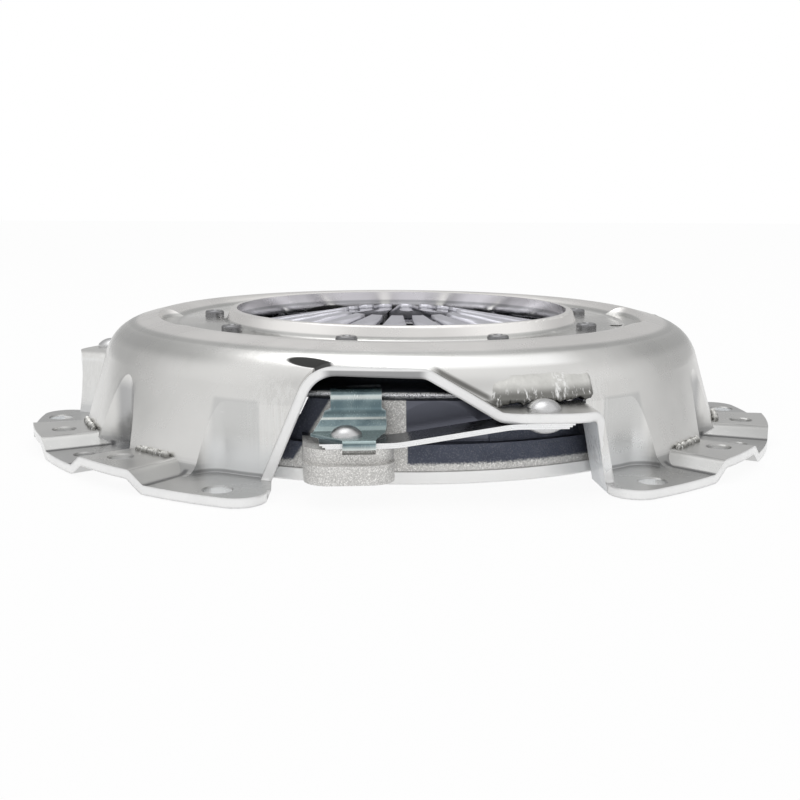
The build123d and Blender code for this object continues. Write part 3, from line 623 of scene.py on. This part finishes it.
def make_beaten_steel(name, sound, beaten, torn):
    """Steel beaten by the press tool below a height, and darker there: upright scores, scrapes, and painted
    shade along its torn edge and on faces that look down.
    """
    scored_side, scraped_side, torn_depth = (15.0, 18.0), (38.0, 43.0, 1.0), 0.7
    facing_down = (-0.2, -0.6)
    material, tree, shader = new_material(name, 0.36)
    place = use(tree, SECTOR)
    scores = use(tree, MOTTLE, Cloud_size=5.0, Grain_size=0.9, Stretch=(1.0, 1.0, 0.10))
    mottle = use(tree, MOTTLE, Cloud_size=4.0, Grain_size=0.4)
    low = times(tree, ramp(tree, place["Height"], sound, beaten),
                ramp(tree, calc(tree, "ABSOLUTE", place["Side"]), *scored_side))
    tone = between(tree, mottle["Cloud"], (0.58, 0.575, 0.55), (0.74, 0.735, 0.71))
    tone = tint(tree, tone, (0.13, 0.128, 0.118), low, 0.85)
    tone = tint(tree, tone, (0.96, 0.96, 0.95), ramp(tree, scores["Grain"], 0.54, 0.66), low)
    scrape = times(tree, band_mask(tree, place["Side"], *scraped_side),
                   ramp(tree, scores["Grain"], 0.45, 0.6))
    tone = tint(tree, tone, (0.95, 0.95, 0.94), scrape, 0.8)
    # painted shade along the torn lower edge and on the faces that look down
    torn_edge_shade = times(tree, ramp(tree, place["Height"], torn, torn - torn_depth), 0.5)
    underside = ramp(tree, upness(tree), *facing_down)
    tone = tint(tree, tone, (0.05, 0.05, 0.048), strongest(tree, underside, torn_edge_shade))
    wire(tree, tone, shader.inputs["Base Color"])
    wire(tree, uneven(tree, scores["Grain"], 0.28, 0.5), shader.inputs["Roughness"])
    bump(tree, shader, scores["Grain"], strength=0.45, distance_mm=0.3)
    return material


# ---------------------------------------------------------------- the other finishes
def make_steel(name, dark, light, roughness, glow):
    """Plain worked steel with clouds, grain and polished edges."""
    material, tree, shader = new_material(name, roughness)
    mottle = use(tree, MOTTLE, Cloud_size=5.0, Grain_size=0.3)
    worn = use(tree, EDGES, Width=0.35)["Mask"]
    tone = between(tree, mottle["Cloud"], dark, light)
    tone = tint(tree, tone, (0.9, 0.9, 0.9), worn, glow)
    wire(tree, tone, shader.inputs["Base Color"])
    polish = uneven(tree, mottle["Cloud"], roughness - 0.06, roughness + 0.08)
    wire(tree, polish, shader.inputs["Roughness"])
    bump(tree, shader, mottle["Grain"], strength=0.2, distance_mm=0.1)
    return material


def make_strap_steel():
    """Rolled strip with painted shade on its broad side that faces up, and bright on its edges."""
    lying = (0.75, 0.92)
    material, tree, shader = new_material("bright strip steel", 0.3, 0.55)
    mottle = use(tree, MOTTLE, Cloud_size=6.0, Grain_size=0.35, Stretch=(0.08, 1.0, 1.0))
    tone = between(tree, mottle["Grain"], (0.80, 0.81, 0.82), (0.97, 0.97, 0.97))
    # painted shade on the broad side that faces up
    broad = ramp(tree, upness(tree), *lying)
    tone = tint(tree, tone, (0.16, 0.165, 0.18), broad, 0.9)
    wire(tree, change(tree, broad, 0.55, 1.0), shader.inputs["Metallic"])
    wire(tree, tone, shader.inputs["Base Color"])
    wire(tree, uneven(tree, mottle["Cloud"], 0.22, 0.36), shader.inputs["Roughness"])
    bump(tree, shader, mottle["Grain"], strength=0.18, distance_mm=0.08)
    return material


def make_spring_steel():
    """Shot-peened fingers with a violet cast, painted shade on the rim under the cover, and a speckled bright
    outer edge.
    """
    rim_radius, edge_radius = (84.0, 92.0), (111.2, 111.6)
    material, tree, shader = new_material("shot-peened spring steel", 0.4)
    mottle = use(tree, MOTTLE, Cloud_size=12.0, Grain_size=0.35)
    place = use(tree, SECTOR)
    tone = between(tree, mottle["Cloud"], (0.55, 0.55, 0.60), (0.72, 0.715, 0.77))
    # painted shade on the rim, which lies under the cover
    tone = tint(tree, tone, (0.07, 0.08, 0.10), ramp(tree, place["Radius"], *rim_radius), 0.93)
    edge = ramp(tree, place["Radius"], *edge_radius)
    tone = tint(tree, tone, (0.85, 0.85, 0.86), edge, ramp(tree, mottle["Grain"], 0.38, 0.56))
    wire(tree, tone, shader.inputs["Base Color"])
    wire(tree, uneven(tree, mottle["Grain"], 0.32, 0.46), shader.inputs["Roughness"])
    bump(tree, shader, mottle["Grain"], strength=0.25, distance_mm=0.1)
    return material


def make_zinc():
    """Blue-green passivated zinc with pale streaks and worn edges: painted highlights on its bends and tab,
    painted shade on its upright, and painted light on the top of its foot.
    """
    upright, hook, knee = (25.0, 29.2, 0.6), (29.9, 31.2, 0.5), (23.7, 24.3, 0.22)
    tab, foot, foot_top = (19.2, 17.2), (19.4, 21.8, 0.3), (0.3, 0.7)
    material, tree, shader = new_material("blue-green zinc", 0.2)
    mottle = use(tree, MOTTLE, Cloud_size=6.0, Grain_size=0.4, Stretch=(1.0, 1.0, 0.15))
    worn = use(tree, EDGES, Width=0.5)["Mask"]
    place = use(tree, SECTOR)
    height = place["Height"]
    tone = between(tree, uneven(tree, mottle["Cloud"], 0.0, 1.0), (0.12, 0.17, 0.19), (0.23, 0.30, 0.315))
    tone = tint(tree, tone, (0.40, 0.46, 0.44), ramp(tree, mottle["Grain"], 0.55, 0.75, 0.0, 0.5))
    tone = tint(tree, tone, (0.75, 0.82, 0.82), worn, 0.45)
    # painted shade on the upright
    tone = tint(tree, tone, (0.10, 0.15, 0.165), band_mask(tree, height, *upright), 0.5)
    # painted highlights on the hook's bend, the knee and the tab
    painted_highlight = strongest(tree, times(tree, band_mask(tree, height, *hook), 0.62),
                       times(tree, band_mask(tree, height, *knee), 0.75),
                       times(tree, ramp(tree, height, *tab), 0.75))
    tone = tint(tree, tone, (0.88, 0.93, 0.90), painted_highlight)
    # painted light on the top of the foot
    on_foot = times(tree, band_mask(tree, height, *foot), ramp(tree, place["Up"], *foot_top))
    tone = tint(tree, tone, (0.36, 0.45, 0.45), on_foot, 0.8)
    wire(tree, tone, shader.inputs["Base Color"])
    flat_toned = strongest(tree, painted_highlight, on_foot)
    wire(tree, change(tree, flat_toned, 1.0, 0.45), shader.inputs["Metallic"])
    wire(tree, uneven(tree, mottle["Grain"], 0.16, 0.28), shader.inputs["Roughness"])
    bump(tree, shader, mottle["Grain"], strength=0.2, distance_mm=0.1)
    return material


def turned_faces(tree, place):
    """Rim and friction face, which are turned on a lathe."""
    rim_height, rim_radius = (6.5, 6.1), (117.5, 116.6)
    facing_down, face_height = (-0.95, -0.99), (2.6, 2.2)
    rim = times(tree, ramp(tree, place["Height"], *rim_height), ramp(tree, place["Radius"], *rim_radius))
    face = times(tree, ramp(tree, place["Up"], *facing_down), ramp(tree, place["Height"], *face_height))
    return strongest(tree, rim, face)


def shaded_ring(tree, place, grain):
    """Painted shade on the ring and its ridges, which ends at the lug and above an uneven lower border."""
    ring_radius, border_height, border_swell = (117.4, 116.8), (9.6, 10.8), 3.0
    lug_left, lug_right, lug_top, lug_lean = (-37.4, -36.2), (-9.2, -9.9), 24.0, 0.62
    drop = calc(tree, "SUBTRACT", lug_top, place["Height"])
    lean = plus(tree, place["Side"], times(tree, drop, lug_lean))
    lug = times(tree, ramp(tree, lean, *lug_left), ramp(tree, place["Side"], *lug_right))
    border = plus(tree, place["Height"], times(tree, grain, border_swell))
    return times(tree, ramp(tree, place["Radius"], *ring_radius), calc(tree, "SUBTRACT", 1.0, lug),
                 ramp(tree, border, *border_height))


def milled_flat(tree, place):
    """The flat milled beside the straps."""
    flat_side, flat_height, flat_out = (-9.6, 17.5, 0.1), (15.1, 15.3), (105.0, 106.0)
    return times(tree, band_mask(tree, place["Side"], *flat_side), ramp(tree, place["Height"], *flat_height),
                 ramp(tree, place["Out"], *flat_out))


def make_cast_iron():
    """Sandy pale skin on the lugs, painted shade on the ring, a milled flat with a painted dark reflection,
    and turned faces.
    """
    turning_feed = 0.5
    material, tree, shader = new_material("sandy cast iron", 0.5)
    place = use(tree, SECTOR)
    sand = use(tree, SAND, Grain_size=0.5)
    fine = use(tree, SAND, Grain_size=0.26)
    mottle = use(tree, MOTTLE, Cloud_size=9.0, Grain_size=0.5)
    turned = turned_faces(tree, place)
    milled = milled_flat(tree, place)
    machined = strongest(tree, turned, milled)
    pale = between(tree, mottle["Cloud"], (0.50, 0.495, 0.48), (0.74, 0.73, 0.71))
    pale = tint(tree, pale, (0.22, 0.215, 0.21), ramp(tree, mottle["Grain"], 0.40, 0.70, 0.0, 0.42))
    pale = tint(tree, pale, (0.93, 0.92, 0.90), fine["Glitter"], 0.85)
    # painted shade for the ring: dark navy with sparse glitter
    dark = between(tree, mottle["Cloud"], (0.045, 0.052, 0.075), (0.11, 0.12, 0.155))
    dark = tint(tree, dark, (0.5, 0.5, 0.52), ramp(tree, fine["Glitter"], 0.9, 1.0), 0.12)
    tone = mix(tree, shaded_ring(tree, place, mottle["Grain"]), pale, dark)
    # painted dark reflection on the milled flat
    tone = tint(tree, tone, (0.10, 0.105, 0.13), milled)
    tone = tint(tree, tone, (0.99, 0.99, 0.98), turned)
    wire(tree, tone, shader.inputs["Base Color"])
    wire(tree, change(tree, turned, 0.75, 0.3), shader.inputs["Metallic"])
    wire(tree, change(tree, machined, 0.5, 0.28), shader.inputs["Roughness"])
    rings = calc(tree, "SINE", times(tree, place["Radius"], 2 * math.pi / turning_feed))
    skin = plus(tree, times(tree, sand["Height"], 0.6), times(tree, fine["Height"], 0.4))
    cast = times(tree, skin, calc(tree, "SUBTRACT", 1.0, machined))
    bump(tree, shader, plus(tree, cast, times(tree, rings, 0.03, turned)), strength=0.6, distance_mm=0.35)
    return material


COVER_STEEL = make_cover_steel()
SHEARED = make_sheared_steel()
BEATEN = make_beaten_steel("beaten steel", sound=34.6, beaten=31.2, torn=30.4)
BURRED = make_beaten_steel("burred steel", sound=9.0, beaten=7.8, torn=7.6)
STRAP_STEEL = make_strap_steel()
SPRING_STEEL = make_spring_steel()
ZINC = make_zinc()
CAST_IRON = make_cast_iron()
RIVET_STEEL = make_steel("bright rivet steel", dark=(0.46, 0.46, 0.47), light=(0.68, 0.68, 0.68),
                         roughness=0.3, glow=0.3)
FULCRUM_STEEL = make_steel("dark rivet steel", dark=(0.16, 0.16, 0.165), light=(0.30, 0.30, 0.31),
                           roughness=0.2, glow=0.2)
WIRE_STEEL = make_steel("drawn wire", dark=(0.30, 0.30, 0.32), light=(0.50, 0.50, 0.52),
                        roughness=0.3, glow=0.2)

FINISHES = {"pressure_plate": CAST_IRON, "fulcrum_rivet": FULCRUM_STEEL, "shelf_rivet": RIVET_STEEL,
            "lug_rivet": RIVET_STEEL, "retracting_clip": ZINC, "upper_pivot": WIRE_STEEL,
            "lower_pivot": WIRE_STEEL}


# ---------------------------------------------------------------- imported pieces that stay
def paint_nodes():
    for name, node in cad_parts.items():
        for start, material in FINISHES.items():
            if name.startswith(start):
                for slot in node.material_slots:
                    slot.material = material


# ---------------------------------------------------------------- cover
# the window edge's free border: sideways place and outward distance, in millimetres
EDGE_BORDER = [(-62, 108), (-57, 110.4), (-45, 114.8), (-30, 117.2), (-12, 119.6), (0, 120.6), (9, 123.0),
               (17, 127.2), (23, 130.0), (29, 130.5), (41, 130.5), (47, 128.8), (51, 125.0), (62, 124.0)]
EDGE_HALF, EDGE_REACH, EDGE_TOP = 60, 1.1, 42
FLANGE_INSIDE, FLANGE_RIM, FLANGE_UP_TO, GAP_HALF = 131, 147.4, 7.4, 66
STEEPEST_UP, LEAST_OUTWARD = 0.6, 0.55


def is_sheared(centre, normal):
    """Faces that a press tool cut through the sheet: the flange's border and the window's free edge."""
    side, out = in_window(centre)
    radius, height = math.hypot(centre.x, centre.y) / MM, centre.z / MM
    if abs(normal.z) > STEEPEST_UP:
        return False
    if radius > FLANGE_INSIDE and height < FLANGE_UP_TO and (radius > FLANGE_RIM or abs(side) < GAP_HALF):
        return True
    outward = (normal.x * centre.x + normal.y * centre.y) / (radius * MM)
    near_border = abs(out - along_outline(EDGE_BORDER, side)) < EDGE_REACH
    return abs(side) < EDGE_HALF and near_border and outward > LEAST_OUTWARD and height < EDGE_TOP


def make_cover():
    cover = copy_of("cover", "cover_pressing")
    paint(cover, COVER_STEEL, SHEARED)
    for face in cover.data.polygons:
        face.material_index = 1 if is_sheared(face.center, face.normal) else 0
    smooth(cover)
    keep_cad_normals(cover, "cover")
    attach(cover, COVER_BODY)
    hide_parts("cover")


# ---------------------------------------------------------------- hammered lip over each shelf
# the cover's outer face on its wall: height and radius, in millimetres
WALL_PROFILE = [(26.0, 121.4), (30.7, 120.0), (35.2, 118.4), (37.9, 117.2), (40.5, 115.2), (42.7, 112.0)]
# the lip's grid of faces, where it runs, and how far it stands off the wall and its border is sunk in it
LIP_GRID = (110, 34)
LIP_SWING = (6.3, 26.3)
LIP_RADIUS = 118.0
LIP_LOW, LIP_HIGH = 29.2, 36.3
LIP_STAND, LIP_SUNK = 1.25, 0.12
# height of the ramp at the middle of the window, and where the lip leaves it and over what length
RAMP_TOP, RAMP_END, RAMP_BLEND = 37.7, 20.0, 2.5
# where the lip starts to stand off and over what length, and the shares over which it falls back
RISE_START, RISE_LENGTH, END_SHARE, TOP_SHARE = 16.0, 3.2, 0.05, 0.35
# shares of the lip's height that are the hem and its part turned in, and the hem's sizes
HEM_SHARE, TURNED_SHARE = 0.2, 0.1
HEM_DROP, HEM_TUCK, TURNED_DEPTH = 1.1, 0.7, 2.6


def lip_point(u, v, index):
    """Place of the lip at a share u of its length and v of its height, off the wall and with a torn hem."""
    first, last = LIP_SWING
    seed = 1.3 + 2.1 * index
    swing = first + (last - first) * u
    side = LIP_RADIUS * math.sin(math.radians(swing))
    # it starts on the window edge's ramp, and leaves it for the slot's lower line
    on_ramp = min(1.0, max(0.0, (RAMP_END - side) / RAMP_BLEND))
    ragged = 0.45 * wave(u * 14, seed) + 0.25 * wave(u * 47, seed + 1) + 0.48 * (1 - u) * (1 - u)
    low = (1 - on_ramp) * (LIP_LOW + 0.9 * u + ragged) + on_ramp * (RAMP_TOP - RAMP_FALL * side)
    high = LIP_HIGH + 2.6 * u * (1.4 - u) + 0.5 * wave(u * 5, seed + 3)
    height = low + (high - low) * max(0.0, (v - HEM_SHARE) / (1 - HEM_SHARE))
    # it stands off the wall between its ends, and less towards its upper line
    ends = eased(min(1.0, max(0.0, (side - RISE_START) / RISE_LENGTH), (1 - u) / END_SHARE))
    shape = eased(min(1.0, (1 - v) / TOP_SHARE))
    creases = 0.22 * wave(u * 26, seed + 5) * (1 - v) + 0.12 * wave(u * 71, seed) * (1 - v) ** 2
    stand = (LIP_STAND + 0.35 * wave(u * 6, seed + 2) + creases) * shape * ends
    if v < HEM_SHARE:
        # the hem hangs down torn, and turns in to the wall
        torn = min(1.0, (HEM_SHARE - v) / (HEM_SHARE - TURNED_SHARE))
        turned_in = max(0.0, (TURNED_SHARE - v) / TURNED_SHARE)
        height = low - (HEM_DROP + 0.35 * wave(u * 33, seed + 6)) * torn * ends
        stand = stand - HEM_TUCK * torn * ends - TURNED_DEPTH * turned_in
    sunk = LIP_SUNK * (1 - ends * shape)
    return round_point(along_outline(WALL_PROFILE, height) + stand - sunk, swing, height, index)


def make_lip(index):
    """Sheet over the slot, beaten outward and torn along its lower edge."""
    lip = new_grid(f"hammered_lip_{index + 1}", *LIP_GRID)
    for vertex in lip.data.vertices:
        vertex.co = lip_point((vertex.co.x + 1) / 2, (vertex.co.y + 1) / 2, index)
    edit_all(lip)
    bpy.ops.mesh.normals_make_consistent(inside=False)
    end_edit()
    middle = middle_face(lip, *LIP_GRID)
    if middle.normal.dot(Vector((middle.center.x, middle.center.y, 0))) < 0:
        lip.data.flip_normals()
    settle(lip)
    smooth(lip, 50)
    paint(lip, BEATEN)
    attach(lip, COVER_BODY)


# ---------------------------------------------------------------- burrs beside the dowel holes
BURR_GRID = (60, 14)
BURR_RADIUS, BURR_HEIGHT = 128.1, 7.15
BURR_OUT, BURR_UP = 1.15, 1.75
BURR_END_SHARE = 0.08
BURR_FROM, BURR_ROUND = -25, 215
BURR_SWINGS = {"left": (-51.4, -42.8), "right": (42.8, 51.4)}


def make_burr(index, hand):
    """Ragged bead that the coining tool raised along the foot of the wall beside a dowel hole."""
    first, last = BURR_SWINGS[hand]
    burr = new_grid(f"coining_burr_{index + 1}_{hand}", *BURR_GRID)
    seed = 0.7 + 1.9 * index + (0.4 if hand == "right" else 0.0)
    for vertex in burr.data.vertices:
        u, v = (vertex.co.x + 1) / 2, (vertex.co.y + 1) / 2
        end = min(1.0, u / BURR_END_SHARE, (1 - u) / BURR_END_SHARE)
        size = end * (0.95 + 0.34 * wave(u * 13, seed) + 0.14 * wave(u * 51, seed + 2))
        around = math.radians(BURR_FROM + BURR_ROUND * v)
        radius = BURR_RADIUS + BURR_OUT * size * math.cos(around) + 0.15 * wave(u * 40 + v * 9, seed + 4)
        height = BURR_HEIGHT + BURR_UP * size * math.sin(around) + 0.12 * wave(u * 33 + v * 14, seed + 5)
        vertex.co = round_point(radius, first + (last - first) * u, height, index)
    if middle_face(burr, *BURR_GRID).normal.z < 0:
        burr.data.flip_normals()
    settle(burr)
    smooth(burr, 60)
    paint(burr, BURRED)
    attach(burr, COVER_BODY)


# ---------------------------------------------------------------- diaphragm spring
SPRING_T = 2.4
SPRING_SLOPE = 0.1763
LEAST_UP = 0.97


def make_spring():
    """Middle surface of the spring with a live thickness, so that it keeps its gauge as it flattens."""
    spring = copy_of("diaphragm_spring", "slotted_cone_spring")
    mesh = bmesh.new()
    mesh.from_mesh(spring.data)
    below_top = [f for f in mesh.faces if f.normal.z < LEAST_UP]
    bmesh.ops.delete(mesh, geom=below_top, context="FACES")
    mesh.to_mesh(spring.data)
    mesh.free()
    edit_all(spring)
    to_middle = SPRING_T / 2 * math.hypot(1, SPRING_SLOPE)
    bpy.ops.transform.translate(value=(0, 0, -to_middle * MM))
    end_edit()
    smooth(spring, 40)
    gauge = spring.modifiers.new("gauge", "SOLIDIFY")
    gauge.thickness = SPRING_T * MM
    gauge.offset = 0
    gauge.use_even_offset = False
    paint(spring, SPRING_STEEL)
    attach(spring, COVER_BODY)
    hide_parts("diaphragm_spring")
    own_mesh(spring)


# ---------------------------------------------------------------- drive straps
LAYERS = ("upper", "middle", "lower")
LUG_RIVET_X, SHELF_RIVET_X = -29.8, 32.8
LUG_FLAT, SHELF_FLAT = 13.6, 9.6
STRAP_D = 124.0
STRAP_STEPS = 14


def make_leaf(index, layer):
    """A strap leaf with cuts across it, so that it bends between the plate's lug and the cover's shelf."""
    node = f"drive_strap_{index + 1}_{layer}_leaf"
    leaf = copy_of(node, f"strap_{index + 1}_{layer}")
    first, last = LUG_RIVET_X + LUG_FLAT, SHELF_RIVET_X - SHELF_FLAT
    direction = Matrix.Rotation(PITCH * index, 4, "Z") @ Vector((1, 0, 0))
    edit_all(leaf)
    for i in range(STRAP_STEPS + 1):
        side = first + (last - first) * i / STRAP_STEPS
        bpy.ops.mesh.select_all(action="SELECT")
        bpy.ops.mesh.bisect(plane_co=window_point(side, STRAP_D, 20, index), plane_no=direction)
    end_edit()
    smooth(leaf, 30)
    paint(leaf, STRAP_STEEL)
    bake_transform(leaf)
    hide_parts(node)


# ---------------------------------------------------------------- stage
FLOOR_SIZE, FLOOR_DROP = 6.0, 0.0004
FLOOR_WHITE = 0.92
FRONT = (-0.10, -0.995, 0)
# brightness of the studio from the horizon, at 0, to straight above, at 1
UPPER_STOPS = [(0.72, 0.78), (0.82, 0.98), (0.92, 1.02)]
BEFORE = [(0.0, 1.3), (0.2, 1.2), (0.35, 0.85), (0.6, 0.64), *UPPER_STOPS]
BESIDE = [(0.0, 0.82), (0.2, 0.88), (0.35, 0.97), (0.6, 1.0), (0.75, 0.98), (0.86, 1.02)]
BEHIND = [(0.0, 0.60), (0.12, 0.53), (0.3, 0.54), (0.6, 0.56), *UPPER_STOPS]


def make_floor():
    """Pale floor, seen as nearly white, so that only a soft shade shows under the object."""
    bpy.ops.mesh.primitive_plane_add(size=FLOOR_SIZE, location=(0, 0, -FLOOR_DROP))
    floor = bpy.context.object
    floor.name = "floor"
    material, tree, shader = new_material("pale floor", 0.7, 0.0)
    shader.inputs["Base Color"].default_value = (0.9, 0.9, 0.9, 1)
    shader.inputs["Specular IOR Level"].default_value = 0.1
    path = add(tree, "ShaderNodeLightPath").outputs
    seen = strongest(tree, path["Is Camera Ray"], path["Is Transmission Ray"], path["Is Glossy Ray"])
    white = add(tree, "ShaderNodeEmission", inputs={"Color": (1, 1, 1, 1), "Strength": 1.0})
    blend = add(tree, "ShaderNodeMixShader", inputs={
        0: times(tree, seen, FLOOR_WHITE), 1: shader.outputs[0], 2: white.outputs[0]})
    wire(tree, blend.outputs[0], tree.nodes["Material Output"].inputs["Surface"])
    floor.data.materials.append(material)


def sky(tree, height, stops):
    """Brightness by height, along a list of stops."""
    node = add(tree, "ShaderNodeValToRGB", inputs={0: height})
    elements = node.color_ramp.elements
    while len(elements) < len(stops):
        elements.new(0.5)
    for element, (position, level) in zip(elements, stops):
        element.position = position
        element.color = (level, level, level, 1)
    return node.outputs[0]


def make_studio():
    """White backdrop for the camera, and a soft studio of greys for the light and the reflections."""
    world = bpy.data.worlds.new("studio")
    bpy.context.scene.world = world
    world.use_nodes = True
    tree = world.node_tree
    parts = split(tree, add(tree, "ShaderNodeTexCoord").outputs["Generated"])
    flat = add(tree, "ShaderNodeCombineXYZ", inputs={0: parts[0], 1: parts[1], 2: 0.0}).outputs[0]
    flat = vector_calc(tree, "NORMALIZE", flat)[0]
    front = vector_calc(tree, "DOT_PRODUCT", flat, FRONT)["Value"]
    behind, beside, before = (sky(tree, parts[2], stops) for stops in (BEHIND, BESIDE, BEFORE))
    greys = mix(tree, ramp(tree, front, -0.6, 0.1), behind, beside)
    greys = mix(tree, ramp(tree, front, 0.5, 0.9), greys, before)
    studio = tree.nodes["Background"]
    wire(tree, greys, studio.inputs["Color"])
    backdrop = add(tree, "ShaderNodeBackground", inputs={"Color": (1, 1, 1, 1), "Strength": 1.0})
    seen = add(tree, "ShaderNodeLightPath").outputs["Is Camera Ray"]
    surround = add(tree, "ShaderNodeMixShader", inputs={
        0: seen, 1: studio.outputs[0], 2: backdrop.outputs[0]})
    wire(tree, surround.outputs[0], tree.nodes["World Output"].inputs["Surface"])


def make_softbox():
    """Weak soft light from above, a little behind and to the left."""
    place = Vector((-0.15, 0.1, 0.9))
    light = bpy.data.lights.new("overhead softbox", "AREA")
    light.shape, light.size, light.energy = "DISK", 0.7, 1.25
    softbox = bpy.data.objects.new("overhead softbox", light)
    bpy.context.scene.collection.objects.link(softbox)
    softbox.location = place
    softbox.rotation_euler = (-place).to_track_quat("-Z", "Y").to_euler()


# ---------------------------------------------------------------- camera
CAMERA_TURN, CAMERA_DIP, CAMERA_ROLL = math.radians(5.844), 0.1817, 0.0068
CAMERA_PLACE, CAMERA_SHIFT = (-48.4, -473.0, 95.95), -0.346
SENSOR_WIDTH, LENS_PER_WIDTH = 36.0, 1145.47 / 800


def make_camera():
    """Camera a little above the flange, looking at the first window."""
    turn, dip = CAMERA_TURN, CAMERA_DIP
    forward = Vector((math.sin(turn) * math.cos(dip), math.cos(turn) * math.cos(dip), -math.sin(dip)))
    level = Vector((math.cos(turn), -math.sin(turn), 0))
    side = level * math.cos(CAMERA_ROLL) + level.cross(forward) * math.sin(CAMERA_ROLL)
    top = side.cross(forward)
    place = Vector(CAMERA_PLACE) * MM + level * (CAMERA_SHIFT * MM)
    lens = bpy.data.cameras.new("camera")
    lens.sensor_width, lens.lens = SENSOR_WIDTH, LENS_PER_WIDTH * SENSOR_WIDTH
    lens.clip_start, lens.clip_end = 0.01, 50
    camera = bpy.data.objects.new("camera", lens)
    bpy.context.scene.collection.objects.link(camera)
    basis = Matrix((side, top, -forward)).transposed().to_4x4()
    camera.matrix_world = Matrix.Translation(place) @ basis
    bpy.context.scene.camera = camera


# ---------------------------------------------------------------- the whole object
paint_nodes()
make_cover()
make_spring()
for window in range(SECTORS):
    make_lip(window)
    for hand in BURR_SWINGS:
        make_burr(window, hand)
    for layer in LAYERS:
        make_leaf(window, layer)
make_floor()
make_studio()
make_softbox()
make_camera()
bpy.context.scene.view_settings.view_transform = "Standard"
deselect_all()
